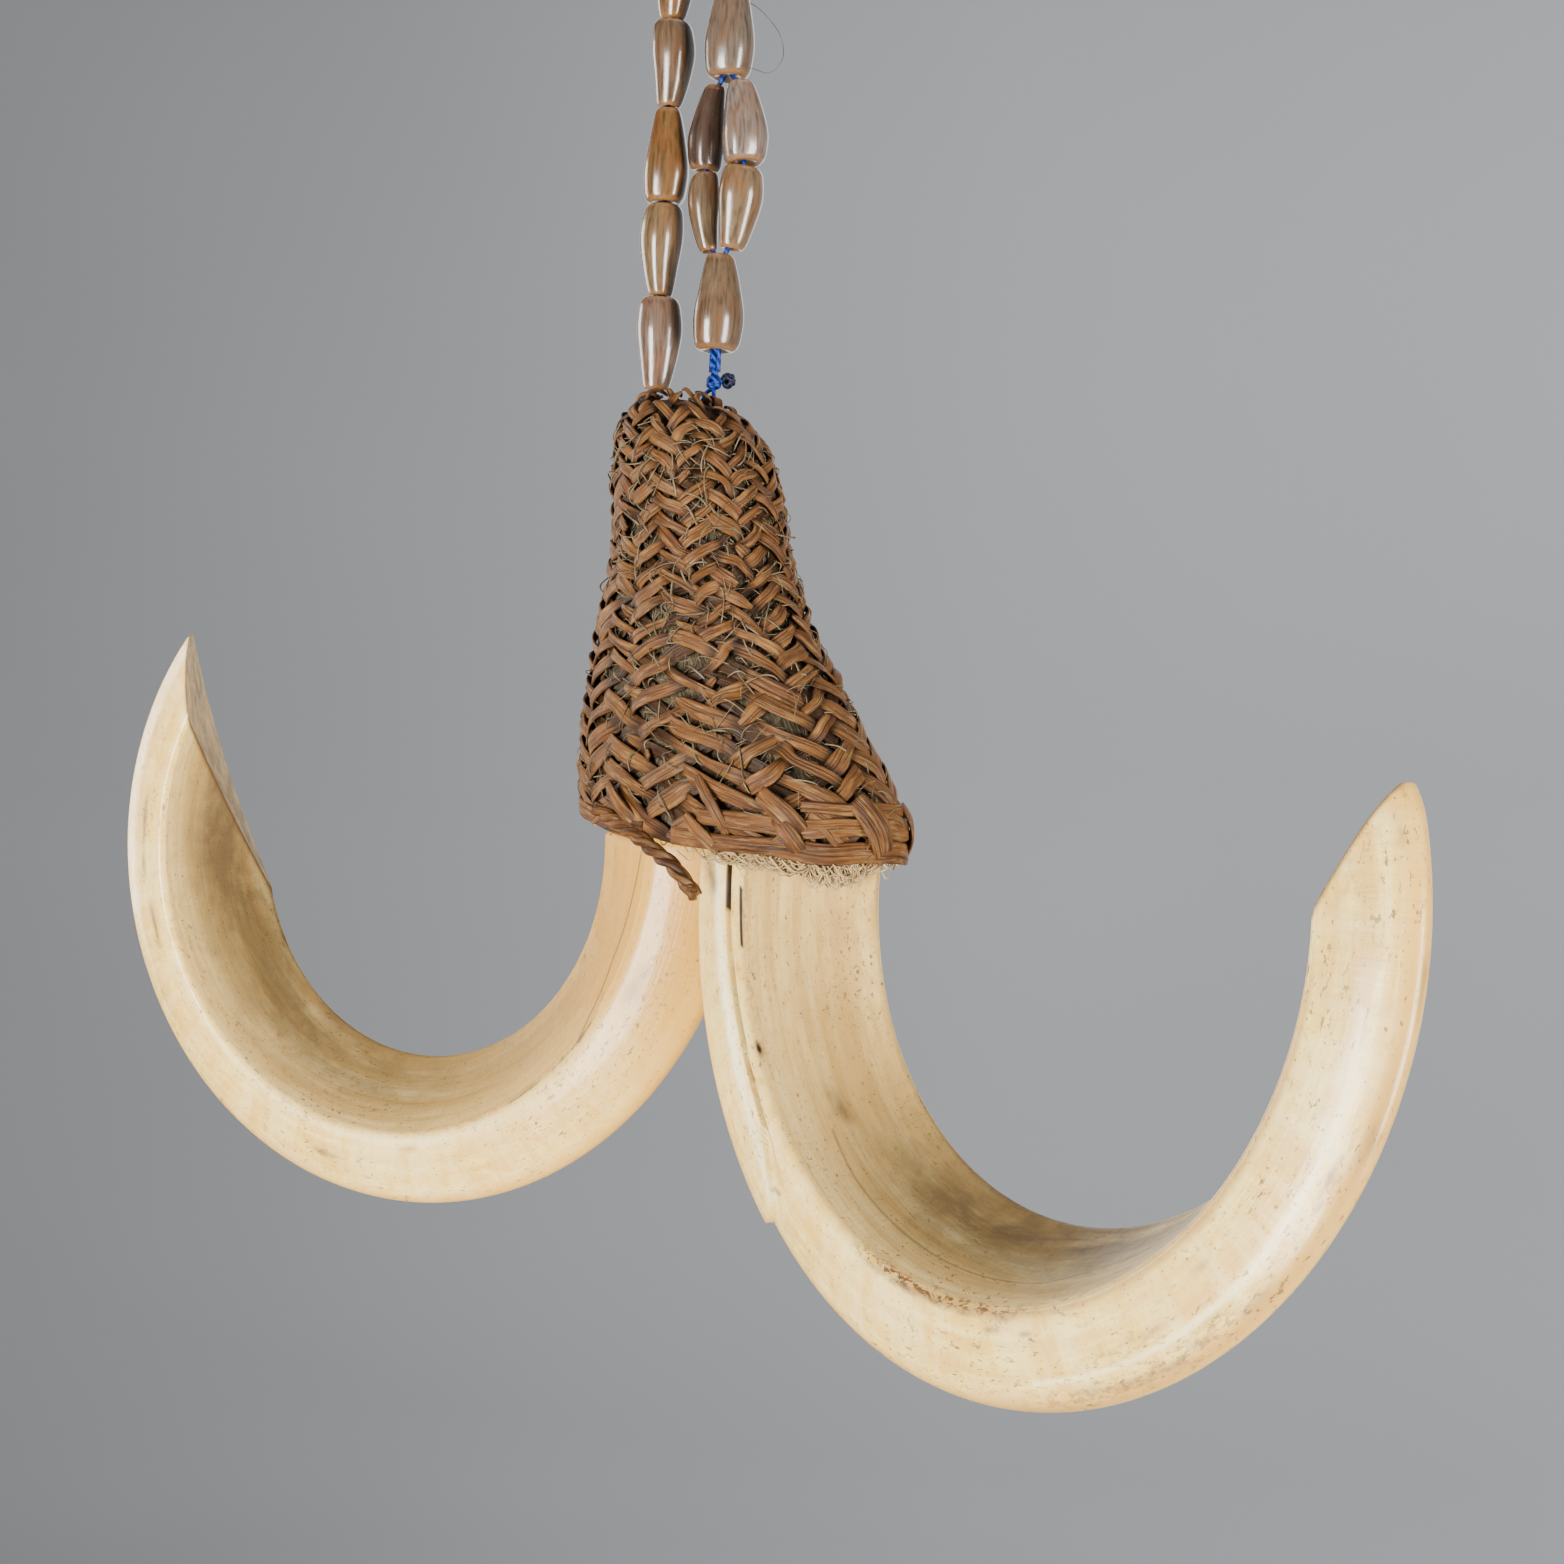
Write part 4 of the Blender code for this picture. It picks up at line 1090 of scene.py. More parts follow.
# The cap's sections, as (height, half length, half depth, lean)
CAP_SECTIONS = (
    (0.9, 29.8, 13.8, 0.6),
    (6.0, 29.4, 14.0, 1.3),
    (16.0, 24.4, 13.4, 4.1),
    (28.0, 18.6, 12.1, 6.6),
    (39.0, 14.0, 11.2, 7.6),
    (50.0, 12.1, 11.0, 8.9),
    (57.0, 9.7, 9.4, 10.4),
    (61.0, 6.0, 5.9, 11.7),
    (62.4, 2.2, 2.2, 12.1),
)
CAP_YAW = math.radians(-6.0)
CAP_CENTRE = (0.2, -1.6)
CAP_LEAN_DIRECTION = (-1.0, -0.35)
RIM_SLOPE = -2.2
RIM_SAG = -1.3
RIM_END_PULL = 1.1
RIM_FADE = 18
RIM_EDGE = CAP_SECTIONS[0][0]
CAP_CURVE = curve_through(CAP_SECTIONS, 240)
WEAVE_COLUMNS = 20
FIRST_ROW = 1.95
LAST_ROW = 1.4
ROWS_SHRINK_OVER = 30


def cap_surface(angle, height, outwards=0.0):
    """Points of the cap's plain surface, in mm above the rim."""
    height = np.asarray(height, float)
    half_length, half_depth, lean = (np.interp(height, CAP_CURVE[:, 0], CAP_CURVE[:, k]) for k in (1, 2, 3))
    half_length, half_depth = half_length + outwards, half_depth + outwards
    fade = np.clip(1 - height / RIM_FADE, 0, 1)
    pulled = RIM_END_PULL * np.maximum(np.cos(angle), 0) * fade
    across = (half_length - pulled) * np.cos(angle)
    depth = half_depth * np.sin(angle)
    turn = math.cos(CAP_YAW), math.sin(CAP_YAW)
    x = CAP_CENTRE[0] + lean * CAP_LEAN_DIRECTION[0] + across * turn[0] - depth * turn[1]
    y = CAP_CENTRE[1] + lean * CAP_LEAN_DIRECTION[1] + across * turn[1] + depth * turn[0]
    drop = (RIM_SLOPE * np.cos(angle) + RIM_SAG * np.sin(angle) ** 2) * fade
    return np.stack((x, y, height + drop), -1)


def cap_normal(angle, height):
    along = cap_surface(angle + 0.01, height) - cap_surface(angle - 0.01, height)
    low = np.clip(height - 0.3, CAP_CURVE[0, 0], None)
    high = np.clip(height + 0.3, None, CAP_CURVE[-1, 0])
    up = cap_surface(angle, high) - cap_surface(angle, low)
    return unit(np.cross(along, up))


MEAN_RADIUS = (CAP_CURVE[:, 1] + CAP_CURVE[:, 2]) / 2
SLOPE_LENGTH = np.concatenate(([0.0], np.cumsum(np.hypot(np.diff(CAP_CURVE[:, 0]), np.diff(MEAN_RADIUS)))))
ROW_HEIGHT = FIRST_ROW + (LAST_ROW - FIRST_ROW) * np.clip(SLOPE_LENGTH / ROWS_SHRINK_OVER, 0, 1)
ROWS = np.concatenate(([0.0], np.cumsum(np.diff(SLOPE_LENGTH) / ROW_HEIGHT[1:])))


def strip_path(family, index, rows, wobble):
    """The middle line of one strip and the cap's normals along it. Rows count crossings up from the rim."""
    x = 2 * index - rows if family == 0 else 2 * index + rows
    angle = 2 * np.pi * (x + wobble) / (2 * WEAVE_COLUMNS)
    height = np.interp(rows, ROWS, CAP_CURVE[:, 0])
    normals = cap_normal(angle, height)
    circumference = 2 * np.pi * np.interp(height, CAP_CURVE[:, 0], MEAN_RADIUS)
    unit_across = circumference / (2 * WEAVE_COLUMNS)
    unit_up = np.interp(height, CAP_CURVE[:, 0], ROW_HEIGHT)
    spacing = 2 * unit_across * unit_up / np.hypot(unit_across, unit_up)
    over = np.cos(np.pi * (x - (0.5 if family == 0 else 2.5)) / 2)
    return cap_surface(angle, height), normals, spacing, over


def vine_surface():
    """Split vine: brown strips with lengthwise ribs, paler where they are rubbed and in painted sheen, with
    painted shade in the dips.
    """
    s = Surface("vine")
    grain = s.attribute("grain", "Vector")
    ribs = s.grained(grain, (3.0, 0.6, 0.07), 3.0, 0.6)
    patches = s.grained(grain, (0.45, 0.5, 0.2), 3.0)
    rubbed_and_sheen = s.grained(grain, (1.3, 0.5, 0.25), 4.0, 0.7, offset=(5, 5, 5))
    colour = s.ramp(patches, (0.32, (64, 36, 13)), (0.47, (92, 55, 23)), (0.64, (112, 72, 34)))
    # Pale patches are partly wear and partly painted sheen; the depth layer is painted shade in the dips and
    # on edges and undersides
    colour = s.layered(colour, (
        (s.attribute("tone"), (0.0, 0.0), (1.0, 0.5), (105, 70, 30)),
        (rubbed_and_sheen, (0.5, 0.0), (0.68, 0.75), (146, 110, 66)),
        (ribs, (0.38, 0.9), (0.5, 0.0), (43, 22, 8)),
        (s.attribute("depth"), (0.15, 0.0), (0.85, 0.8), (30, 17, 7)),
    ))
    roughness = s.ramp(patches, (0.3, 0.4), (0.7, 0.58))
    return s.finish(colour, roughness, s.bump(ribs, 0.0004, 1.0), Specular_IOR_Level=0.22)


def fibre_surface(name, dark, middle, light):
    s = Surface(name)
    grain = s.attribute("grain", "Vector")
    strands = s.grained(grain, (9.0, 9.0, 0.5), 3.0, 0.6)
    patches = s.grained(grain, (0.5, 0.5, 0.3), 3.0)
    colour = s.ramp(strands, (0.3, dark), (0.5, middle), (0.7, light))
    colour = s.mix(s.ramp(patches, (0.4, 0.0), (0.7, 0.5)), colour, dark)
    return s.finish(colour, 0.9, s.bump(strands, 0.0002, 0.8), Specular_IOR_Level=0.1)


def strip_runs(rows, rng):
    """The stretches of a strip that are left, where it is broken or worn away between them."""
    runs, first = [], 0
    for place in range(1, len(rows)):
        if rows[place] > LOWEST_BREAK and rng.uniform() < BREAK_CHANCE:
            runs.append((first, place))
            first = min(len(rows) - 1, place + int(rng.uniform(*BREAK_STEPS)))
    runs.append((first, len(rows)))
    return [(a, b) for a, b in runs if b - a > SHORTEST_RUN]


STRIP_STEP = 0.24
STRIP_SIDES = 12
LOWEST_BREAK = 4.0
BREAK_CHANCE = 0.011
BREAK_STEPS = (3, 10)
SHORTEST_RUN = 8
LOWEST_ROW = -0.2
# How high the strips go, as parts of all rows, every other one a little less
TALL_STRIP = 0.985
SHORT_STRIPS = (0.86, 0.93)
STRIP_RISE = 0.5
STRIP_SHARE = 0.36
STRIP_THICKNESS = 0.21
# How uneven the strips are, as (amount, points to a wave, which wave)
SIDEWAYS_WAVES = ((0.38, 11, 0), (0.2, 4, 500))
RISE_WAVE = (0.16, 8, 900)
HEIGHT_WAVE = (0.5, 7, 700)
WIDTH_WAVE = (0.13, 6, 1300)
LEAN_WAVE = (0.45, 6, 1700)
THICKNESS_WAVE = (0.05, 10, 2100)


def uneven(count, seed, *waves):
    return sum(amount * smooth_noise(count, step, seed + shift) for amount, step, shift in waves)


def weave_strip(strips, family, index, top, rng):
    """One strip from the rim up, in the runs that its breaks leave."""
    rows = np.arange(LOWEST_ROW, top, STRIP_STEP)
    count = len(rows)
    seed = 100 * family + index
    path, normals, spacing, over = strip_path(family, index, rows, uneven(count, seed, *SIDEWAYS_WAVES))
    over = np.sign(over) * np.abs(over) ** 0.7
    path = path + normals * (over * (STRIP_RISE + uneven(count, seed, RISE_WAVE)))[:, None]
    path[:, 2] += uneven(count, seed, HEIGHT_WAVE)
    width = spacing * (STRIP_SHARE + uneven(count, seed, WIDTH_WAVE))
    lean = uneven(count, seed, LEAN_WAVE)[:, None]
    _, side, normal = frames(path, normals)
    leaning = normal * np.cos(lean) + side * np.sin(lean)
    thick = STRIP_THICKNESS + uneven(count, seed, THICKNESS_WAVE)
    # Painted shade where the strip dips under the others
    painted_shade = np.clip(0.42 - 0.75 * over, 0, 1)
    for first, last in strip_runs(rows, rng):
        part = slice(first, last)
        ends = np.arange(last - first)
        taper = np.clip(0.4 + np.minimum(ends, ends[::-1]) / 4, 0, 1)
        tone = float(rng.uniform(0, 1))
        shape = path[part], width[part] * taper, thick[part], STRIP_SIDES, leaning[part]
        strips.add(*shape, tone=tone, crown=0.5, depth=painted_shade[part])


def make_weave(strips):
    """Two families of strips that pass over two and under two, uneven as hand work is."""
    rng = np.random.default_rng(5)
    for family in (0, 1):
        for index in range(WEAVE_COLUMNS):
            top = ROWS[-1] * (TALL_STRIP if index % 2 == 0 else rng.uniform(*SHORT_STRIPS))
            weave_strip(strips, family, index, top, rng)


VINE = vine_surface()
# Dull fibre, its own dull brown made darker so that the gaps between the strips also show painted shade
DULL_FIBRE = fibre_surface("dull_fibre", (30, 24, 17), (72, 62, 46), (118, 108, 86))
PALE_FIBRE = fibre_surface("pale_fibre", (128, 98, 60), (186, 158, 112), (224, 200, 156))
WOVEN_FIBRE = fibre_surface("woven_fibre", (70, 58, 42), (108, 94, 70), (152, 138, 112))


# Bands round the rim, as (rise, first and last angle in degrees, half width)
RIM_BANDS = ((0.1, -86, 262, 1.35), (2.9, -76, 205, 1.2), (5.2, -40, 140, 0.8))
# Binding strips in view, as (first and last angle in degrees, first and last height, half width)
RIM_WRAPS = (
    (-53, -40, 6.6, 1.6, 1.4),
    (-50, -41, 3.8, -0.6, 1.15),
    (-17, -3, 6.4, -0.9, 1.7),
    (-73, -67, 8.0, 1.2, 0.8),
    (-80, -70, 3.0, -1.0, 0.9),
    (18, 30, 6.0, -0.6, 1.4),
    (-112, -100, 5.5, 0.4, 1.1),
)
VINE_END_POINTS = 60
# The loose end of the vine, as (angle in degrees, height over the rim)
VINE_END = ((-122, 1.6), (-110, 0.3), (-100, -0.8), (-91, -2.4), (-82, -5.0), (-77, -7.4))
HIDDEN_WRAPS = 7
WRAP_POINTS = 24
BAND_THICKNESS = 0.36
WRAP_THICKNESS = 0.3


def beside_rim(angle, height, out):
    """Points at these heights over the rim's edge, held out from the strips, also below the edge."""
    angle, height = np.broadcast_arrays(np.asarray(angle, float), np.asarray(height, float))
    found = cap_surface(angle, np.maximum(RIM_EDGE, height + RIM_EDGE), out)
    found[..., 2] += np.minimum(0, height)
    return found


def rim_bands(strips):
    """Strips laid round the rim."""
    for k, (rise, first, last, half_width) in enumerate(RIM_BANDS):
        count = (last - first) * 3 // 4
        angle = np.radians(np.linspace(first, last, count))
        height = rise + 0.3 * smooth_noise(count, 13, 40 + k)
        path = beside_rim(angle, height, 0.55 + 0.15 * smooth_noise(count, 9, 50 + k))
        width = half_width * (1 + 0.15 * smooth_noise(count, 11, 60 + k))
        normals = cap_normal(angle, np.full(count, 0.95))
        strips.add(path, width, BAND_THICKNESS, STRIP_SIDES, normals, tone=0.3 + 0.2 * k, crown=0.55)


def rim_wraps(strips):
    """Short strips that bind the bands to the cap."""
    rng = np.random.default_rng(8)
    hidden = [(a, a + rng.uniform(5, 15), 6.5, -0.6, 1.3) for a in np.linspace(50, 180, HIDDEN_WRAPS)]
    t = np.linspace(0, 1, WRAP_POINTS)
    for first, last, high, low, half_width in RIM_WRAPS + tuple(hidden):
        angle = np.radians(first + (last - first) * t)
        out = 0.35 + 1.0 * np.sin(np.pi * np.clip(0.12 + t, 0, 1)) ** 0.6
        path = beside_rim(angle, high + (low - high) * t, out)
        normals = cap_normal(angle, np.full(WRAP_POINTS, 1.0))
        width = half_width * (0.8 + 0.3 * np.sin(np.pi * t))
        tone = float(rng.uniform(0, 1))
        strips.add(path, width, WRAP_THICKNESS, STRIP_SIDES, normals, tone=tone, crown=0.55)


def vine_end(strips):
    """The vine's loose end, twisted and curled up in a knob."""
    line = curve_through([(angle, height, 0) for angle, height in VINE_END], VINE_END_POINTS)
    height = line[:, 1] + 0.35 * smooth_noise(VINE_END_POINTS, 7, 71)
    path = beside_rim(np.radians(line[:, 0]), height, 0.7)
    plied(strips, path, 1.15, 3, 9.0)
    knob = beside_rim(math.radians(VINE_END[-1][0] - 1), VINE_END[-1][1] + 0.9, 0.9)
    tangle(strips, knob, 1.1, 0.34, 5, 41)


SHELL_DEPTH = 0.95
SHELL_RELIEF = 0.16
SHELL_CORD_PITCH = 1.5
SHELL_INNER_HEIGHT = 55
SHELL_GRAIN_RADIUS = 14
SHELL_SIDES = 240
SHELL_INNER_RINGS = 40
SHELL_OUTER_RINGS = 150
CAP_WALL = 2.0
LINING_SIDES = 150
LINING_RINGS = 26
LINING_HEIGHTS = (6.0, 12.0)


def make_shell():
    """The twined fibre under the strips, a closed shell with a cord's relief in rows, dark enough to give
    painted shade in the gaps.
    """
    angle = np.linspace(0, 2 * np.pi, SHELL_SIDES, endpoint=False)
    heights = RIM_EDGE + np.linspace(1, 0, SHELL_INNER_RINGS) * SHELL_INNER_HEIGHT
    rings = [cap_surface(angle, np.full(SHELL_SIDES, height), -CAP_WALL) for height in heights]
    for along in np.linspace(0, SLOPE_LENGTH[-1], SHELL_OUTER_RINGS):
        height = np.full(SHELL_SIDES, np.interp(along, SLOPE_LENGTH, CAP_CURVE[:, 0]))
        relief = SHELL_RELIEF * math.cos(2 * np.pi * along / SHELL_CORD_PITCH)
        rings.append(cap_surface(angle, height) + cap_normal(angle, height) * (relief - SHELL_DEPTH))
    flat = np.cos(angle) * SHELL_GRAIN_RADIUS, np.sin(angle) * SHELL_GRAIN_RADIUS
    grain = [np.column_stack((*flat, ring[:, 2])) for ring in rings]
    faces = grid_faces(len(rings), SHELL_SIDES)
    return mesh_object("cap_fibre_shell", np.vstack(rings), faces, DULL_FIBRE, {"grain": np.vstack(grain)})


def make_lining():
    """The lumpy wad of fibre between the roots, seen from below."""
    angle = np.linspace(0, 2 * np.pi, LINING_SIDES, endpoint=False)
    rings = []
    for share in np.linspace(0.04, 1, LINING_RINGS):
        ring = cap_surface(angle, np.full(LINING_SIDES, RIM_EDGE), -CAP_WALL)
        middle = ring.mean(axis=0)
        ring = middle + (ring - middle) * share
        for point in ring:
            where = Vector(point)
            point[2] += 0.2 + 0.7 * noise.noise(where * 0.9) + 0.3 * noise.noise(where * 3.0)
        rings.append(ring)
    for height in LINING_HEIGHTS:
        rings.append(cap_surface(angle, np.full(LINING_SIDES, height), -CAP_WALL - 0.1))
    faces = [tuple(reversed(face)) for face in grid_faces(len(rings), LINING_SIDES)]
    rings = np.vstack(rings)
    return mesh_object("lining_wad", rings, faces, PALE_FIBRE, {"grain": rings})


def make_cap():
    strips = Bundle()
    for add_part in (make_weave, rim_bands, rim_wraps, vine_end):
        add_part(strips)
    use(strips.build("cap_strips", VINE), "vine", "woven_cap")
    use(make_shell(), "fibre", "woven_cap")
    use(make_lining(), "fibre", "fibre_lining")


make_cap()

# Knots, loop and cords


def navy_ball(name, nodes, *shape):
    ball = Bundle()
    tangle(ball, *shape)
    return use(ball.build(name, NAVY), "navy_thread", *nodes)


def blue_knot():
    """The knot over the cap, its twisted stem up to the lowest bead and its two legs."""
    knot = Bundle()
    tangle(knot, RIGHT_KNOT, 1.3, 0.34, 5, 3)
    x, y, z = RIGHT_KNOT
    stem = ((x, y, z + 0.9), (x - 0.2, y, z + 2.6), (x - 0.1, y, LOW_BEAD[0] + 0.5))
    plied(knot, curve_through(stem, 40), 0.62, 2, 2.2)
    for dx, dy in ((-1.5, -0.9), (0.9, -1.0)):
        leg = ((x, y, z - 0.6), (x + dx * 0.7, y + dy * 0.7, z - 1.6), (x + dx, y + dy, z - 3.4))
        knot.add(curve_through(leg, 18), 0.3, 0.3, CORD_SIDES)
    return use(knot.build("blue_knot", BLUE), "blue_thread", "knot_right")


def loop_cord():
    """The plied loop that the strands end in, over the top knot."""
    top = LOOP_TOP_HEIGHT + LOOP_CORD_RADIUS * 2
    half = (top - TOP_KNOT_HEIGHT - TOP_KNOT_RADIUS - GAP) / 2
    turn = np.linspace(0, 2 * np.pi, 160, endpoint=False)
    across = LOOP_HALF_WIDTH * np.sin(turn)
    up = (half - LOOP_CORD_RADIUS) * np.cos(turn)
    loop = Bundle()
    ring = np.stack((HANG[0] + across, np.full(160, HANG[1]), top - half + up), -1)
    plied(loop, ring, LOOP_CORD_RADIUS, 2, 3.4, closed=True)
    return use(loop.build("loop_cord", NAVY), "navy_thread", "hanging_loop")


def make_knots():
    x, y, z = RIGHT_KNOT
    return {
        "right": blue_knot(),
        "tail": navy_ball("navy_tail", (), (x + 1.6, y + 1.2, z + 0.4), 1.25, 0.3, 5, 9, (0.9, 0.9, 1.15)),
        "left": navy_ball("navy_knot", ("knot_left",), LEFT_KNOT, 1.15, 0.3, 5, 12, (0.9, 0.9, 1.2)),
        "top": navy_ball("top_knot", ("knot_top",), (*HANG, TOP_KNOT_HEIGHT), TOP_KNOT_RADIUS, 0.62, 7, 21),
        "loop": loop_cord(),
    }


knots = make_knots()


def make_threads():
    routes = {
        "left": (smooth_route(left_route()), NAVY, "navy_thread"),
        "right": (smooth_route(pair_route(FRONT_BEADS, 1)), BLUE, "blue_thread"),
        "side": (smooth_route(pair_route(SIDE_BEADS, -1)), BLUE, "blue_thread"),
    }
    for side, (route, material, slot) in routes.items():
        piece = use(thread(f"thread_{side}_line", route, material), slot, f"thread_{side}")


make_threads()

# Loose fibres

# Where the frayed fibre hangs, as (middle angle, spread, share, least and greatest drop, longest hair)
FRINGE_TUFTS = ((-40, 12, 0.5, 0.8, 2.4, 8), (-28, 3, 0.17, 1.6, 4.0, 5), (-56, 7, 0.12, 0.6, 1.6, 8))
FRINGE_HAIRS = 520
FRINGE_POINTS = 12
# The drop and length of the fringe's hairs between the tufts, and the shortest hair in a tuft
PLAIN_DROP = (0.3, 1.1)
PLAIN_LENGTH = (2, 5)
SHORTEST_TUFT_HAIR = 3
# How thick all the hairs are, how deep behind the cap's surface they start, and how strongly they curl
FRINGE_HALF_WIDTH = (0.07, 0.16)
FRINGE_DEPTH = (0.1, 1.7)
FRINGE_CURL = (0.3, 1.1)
UNDER_FIBRES = 2600
LOOSE_CURLS = 620
LOOPED_CURLS = 110
WISP_POINTS = 9
HAIR_SIDES = 4
# The stray hair, as (mm to the right of its strand, height)
STRAY_HAIR = ((3.2, 109.4), (6.0, 108.9), (7.7, 111.2), (7.1, 114.4), (4.6, 117.4), (2.2, 119.0))
STRAY_HAIR_RADIUS = 0.05


def make_fringe():
    """Frayed fibre under the rim, thickest at the front of the right tusk."""
    hairs = Bundle()
    rng = np.random.default_rng(31)
    for _ in range(FRINGE_HAIRS):
        pick, (least, most), length = rng.uniform(), PLAIN_DROP, rng.uniform(*PLAIN_LENGTH)
        angle = rng.uniform(0, 2 * np.pi)
        for middle, spread, share, low, high, longest in FRINGE_TUFTS:
            if 0 <= pick < share:
                angle = math.radians(rng.normal(middle, spread))
                least, most, length = low, high, rng.uniform(SHORTEST_TUFT_HAIR, longest)
            pick -= share
        start = cap_surface(np.array(angle), np.array(RIM_EDGE), -rng.uniform(*FRINGE_DEPTH))
        t = np.linspace(0, 1, FRINGE_POINTS)
        tangent = unit(np.array((-math.sin(angle), math.cos(angle) * 0.5, 0)))
        curl = rng.uniform(*FRINGE_CURL)
        phase = rng.uniform(0, 6.3)
        path = start + np.outer(t, tangent * rng.choice((-1, 1)) * rng.uniform(0.6, 1.0) * length * 0.8)
        dip = rng.uniform(least, most)
        path[:, 2] += -0.6 - dip * np.sin(np.pi * np.clip(t * 0.9, 0, 1)) + 0.4 * np.sin(7 * t + phase)
        outwards = np.array((math.cos(angle), math.sin(angle), 0))
        path += np.outer(curl * np.sin(4 * t + phase) * 0.5, outwards)
        half_width = rng.uniform(*FRINGE_HALF_WIDTH)
        hairs.add(path, half_width, 0.08, HAIR_SIDES, tone=float(rng.uniform(0, 1)))
    use(hairs.build("fringe", PALE_FIBRE), "fibre")


def wisp(rng, angle, height, length, bend, rise, out):
    """A short bowed fibre lying on the cap."""
    base = cap_surface(np.array(angle), np.array(height))
    normal = cap_normal(np.array([angle]), np.array([height]))[0]
    side = unit(np.cross(normal, (0, 0, 1)))
    up = np.cross(side, normal)
    turn = rng.uniform(0, 2 * np.pi)
    reach = side * math.cos(turn) + up * math.sin(turn)
    t = np.linspace(0, 1, WISP_POINTS)
    path = base + np.outer(t, reach * length) + np.outer(t * t * bend, np.cross(normal, reach))
    return path + np.outer(np.sin(np.pi * t) * rise + out, normal)


# Fibres on the cap, as the ranges of height, length, bow and rise, how far out they start, and the range of
# half width and the half thickness
UNDER_WISPS = ((1.5, 57), (1.5, 4.0), (-1, 1), (0.1, 0.45), -SHELL_DEPTH + 0.1, (0.06, 0.13), 0.06)
LOOSE_WISPS = ((3, 57), (1.0, 4.6), (-2.0, 2.0), (0.4, 1.2), -0.2, (0.05, 0.14), 0.05)


def add_wisps(hairs, rng, count, heights, length, bow, rise, out, width, thickness):
    for _ in range(count):
        angle, height = rng.uniform(0, 2 * np.pi), rng.uniform(*heights)
        path = wisp(rng, angle, height, rng.uniform(*length), rng.uniform(*bow), rng.uniform(*rise), out)
        half_width = rng.uniform(*width)
        hairs.add(path, half_width, thickness, HAIR_SIDES, tone=float(rng.uniform(0, 1)))


def make_under_fibre():
    """The dull fibres that show in the gaps between the strips."""
    hairs = Bundle()
    add_wisps(hairs, np.random.default_rng(19), UNDER_FIBRES, *UNDER_WISPS)
    use(hairs.build("under_fibres", WOVEN_FIBRE), "fibre")


def make_loose():
    """Fine curls and broken ends that stand out of the weave, with rounder loops at the front."""
    hairs = Bundle()
    rng = np.random.default_rng(77)
    add_wisps(hairs, rng, LOOSE_CURLS, *LOOSE_WISPS)
    for _ in range(LOOPED_CURLS):
        angle, height = math.radians(rng.normal(-62, 32)), rng.uniform(4, 54)
        length, bow = rng.uniform(1.5, 3.5), rng.choice((-1, 1)) * rng.uniform(2.5, 5.0)
        path = wisp(rng, angle, height, length, bow, rng.uniform(0.5, 1.3), 0.1)
        half_width = rng.uniform(0.08, 0.15)
        hairs.add(path, half_width, 0.07, HAIR_SIDES, tone=float(rng.uniform(0, 1)))
    use(hairs.build("loose_fibres", WOVEN_FIBRE), "fibre")


def make_stray_hair():
    """One hair that loops out from the upper right bead."""
    hair = Bundle()
    x, y = RIGHT_STRAND
    right = (math.cos(CAMERA_AZIMUTH), math.sin(CAMERA_AZIMUTH))
    route = [(x + out * right[0], y + out * right[1], height) for out, height in STRAY_HAIR]
    hair.add(curve_through(route, 60), STRAY_HAIR_RADIUS, STRAY_HAIR_RADIUS, 6, tone=0.3)
    use(hair.build("stray_hair", DULL_FIBRE), "fibre")


make_under_fibre()
make_fringe()
make_loose()
make_stray_hair()

# Stage and light


# The wall's greys, with painted shade towards both sides of the picture, as (part of the way across the
# picture, colour)
WALL_GREYS_AND_SHADE = (
    (0.04, (109, 110, 111)),
    (0.4, (121, 122, 124)),
    (0.62, (123, 124, 126)),
    (0.96, (117, 118, 121)),
)


def wall_surface():
    """Grey paint with painted shade, a little darker towards both sides of the picture."""
    s = Surface("studio_grey")
    where = s.node("ShaderNodeTexCoord").outputs["Object"]
    right = s.node("ShaderNodeVectorMath", operation="DOT_PRODUCT")
    s.put(right.inputs[0], where)
    right.inputs[1].default_value = (math.cos(CAMERA_AZIMUTH), math.sin(CAMERA_AZIMUTH), 0)
    across = s.math("MULTIPLY_ADD", right.outputs["Value"], 0.4, 0.5)
    grey = s.ramp(across, *WALL_GREYS_AND_SHADE)
    mottle = s.ramp(s.noise(where, 1.2, 2.0), (0.3, 0.0), (0.7, 0.12))
    return s.finish(s.mix(mottle, grey, (140, 141, 143)), 0.95)


FLOOR = -1.1
# The backdrop's profile in metres, as (distance out, height)
BACKDROP = (
    (0.0, FLOOR), (1.2, FLOOR), (1.9, FLOOR), (2.3, FLOOR + 0.06), (2.6, FLOOR + 0.3), (2.75, FLOOR + 0.8),
    (2.8, 0.0), (2.8, 1.4), (2.8, 3.2),
)
BACKDROP_SIDES = 72


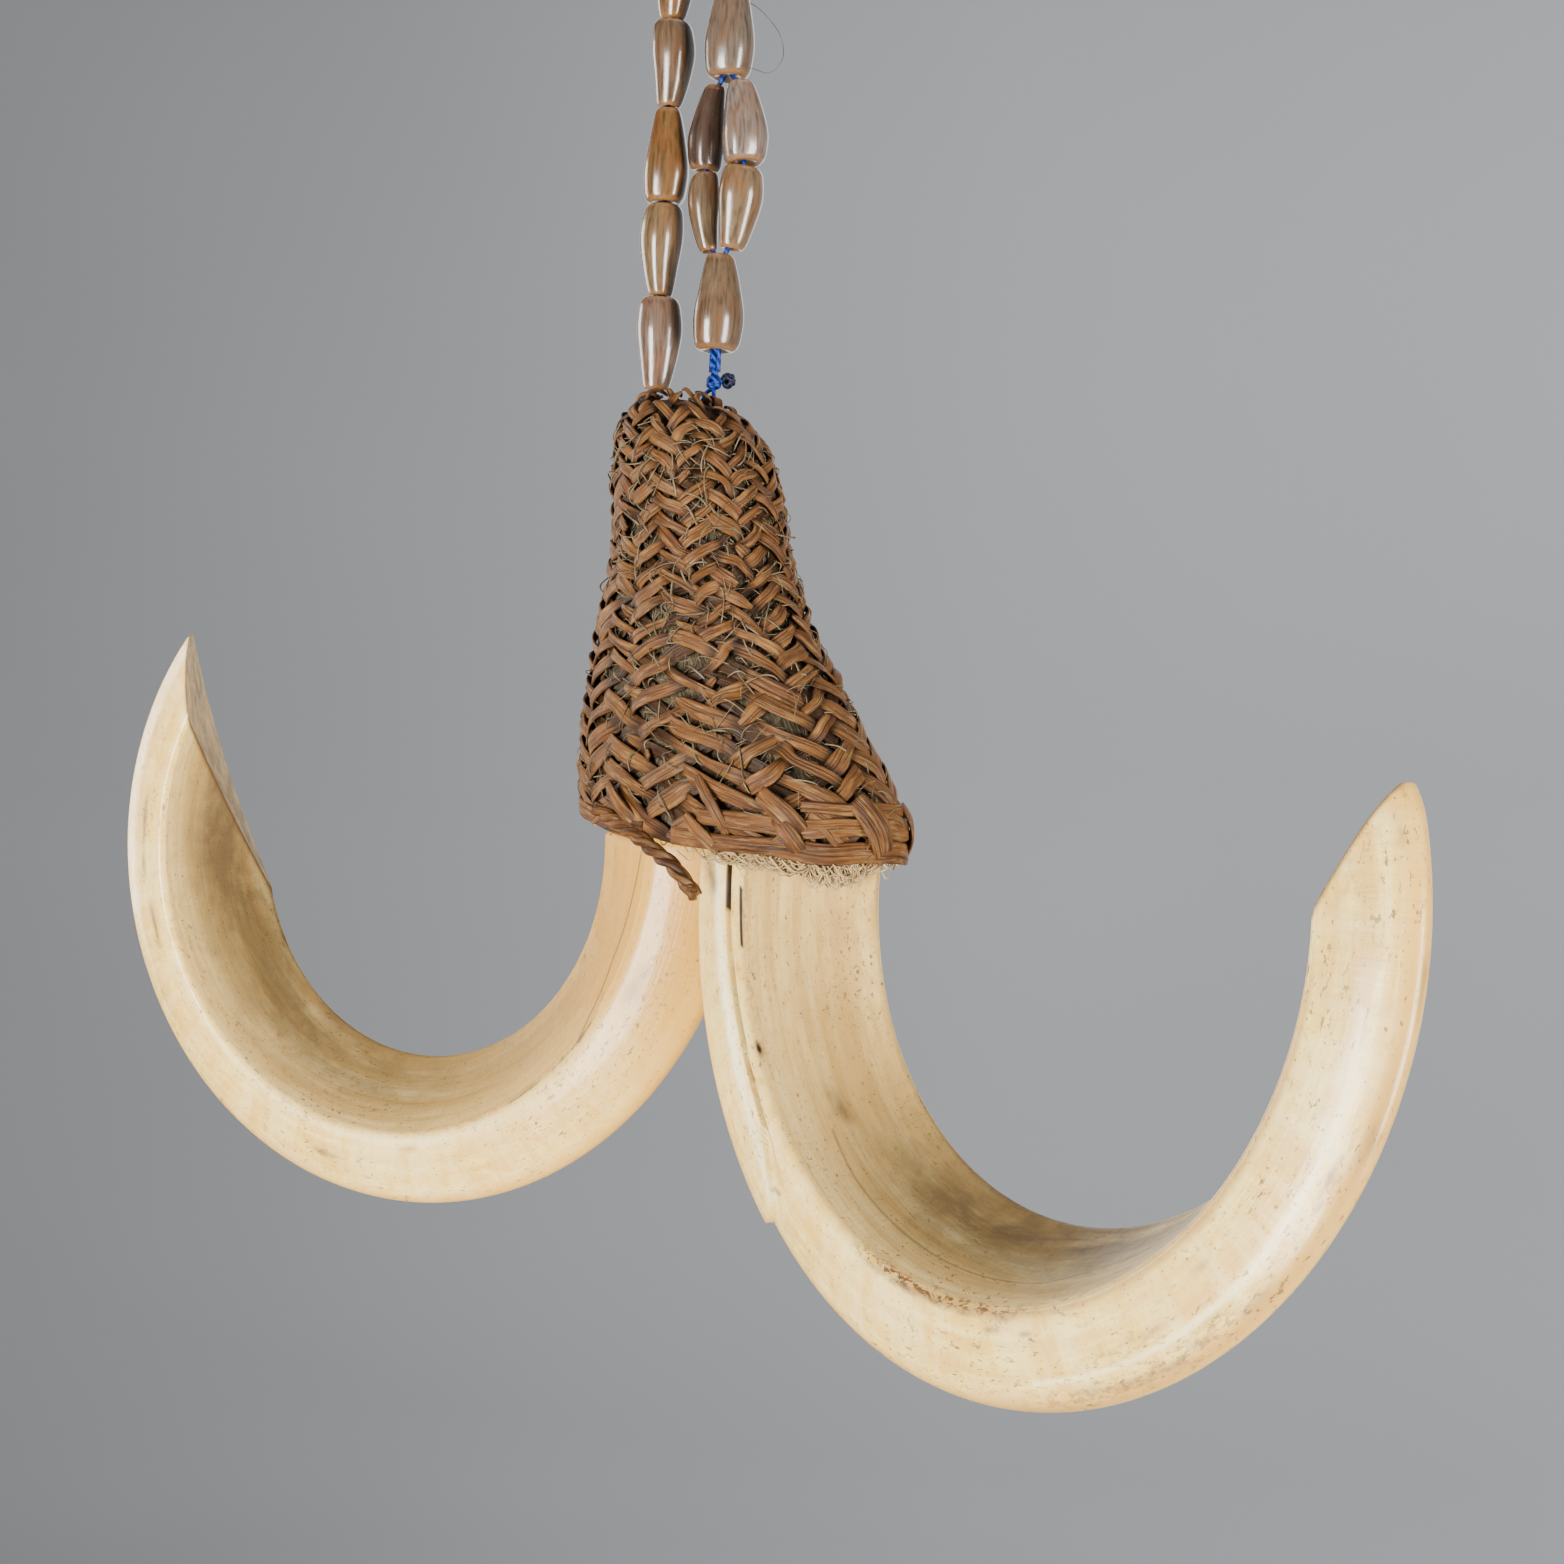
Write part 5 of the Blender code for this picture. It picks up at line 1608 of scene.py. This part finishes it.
def make_stage():
    """A floor that curves up into a wall all round."""
    points = []
    profile = curve_through([(r, 0, z) for r, z in BACKDROP], 40)
    for r, _, z in profile:
        for k in range(BACKDROP_SIDES):
            a = 2 * math.pi * k / BACKDROP_SIDES
            points.append((max(r, 0.001) * math.cos(a), max(r, 0.001) * math.sin(a), z))
    mesh = bpy.data.meshes.new("studio")
    mesh.from_pydata(points, [], grid_faces(len(profile), BACKDROP_SIDES, ends=False))
    mesh.materials.append(wall_surface())
    mesh.shade_smooth()
    in_scene("studio", mesh)


def area_light(name, place, aim, width, height, power, colour):
    light = bpy.data.lights.new(name, "AREA")
    light.shape = "RECTANGLE"
    light.size = width
    light.size_y = height
    light.energy = power
    light.color = colour
    made = in_scene(name, light)
    made.location = place
    made.rotation_euler = (Vector(aim) - Vector(place)).to_track_quat("-Z", "Y").to_euler()


WARM, WHITE, COOL = (1.0, 0.975, 0.94), (1, 1, 1), (0.97, 0.98, 1.0)
AIR_COLOUR = (0.9, 0.93, 1.0, 1)
AIR_STRENGTH = 0.45
MIDDLE = (0.0, 0.0, -0.16)
# Soft windows and fills on the object, washes on the walls: (place, aim, width, height, power, colour)
LIGHTS = {
    "window_left": ((-0.05, -1.3, -0.42), MIDDLE, 0.42, 1.0, 56, WARM),
    "window_right": ((1.3, -0.1, -0.35), MIDDLE, 0.42, 1.0, 44, WARM),
    "fill_left": ((-1.4, -0.2, 0.0), MIDDLE, 0.6, 0.9, 14, WARM),
    "overhead": ((0.0, 0.2, 1.5), MIDDLE, 1.2, 1.2, 6, WHITE),
    "wall_wash": ((0.5, 0.9, 0.8), (-0.8, 2.65, 0.1), 1.2, 1.2, 100, COOL),
    "front_wash": ((0.3, -1.2, 0.9), (1.2, -2.5, 0.0), 1.2, 1.2, 42, COOL),
    "back_fill": ((-1.1, 1.7, 0.3), MIDDLE, 1.8, 1.8, 14, WARM),
}


def make_lights():
    world = bpy.data.worlds.new("studio_air")
    world.use_nodes = True
    air = world.node_tree.nodes["Background"]
    air.inputs["Color"].default_value = AIR_COLOUR
    air.inputs["Strength"].default_value = AIR_STRENGTH
    bpy.context.scene.world = world
    for name, light in LIGHTS.items():
        area_light(name, *light)


make_stage()
make_lights()
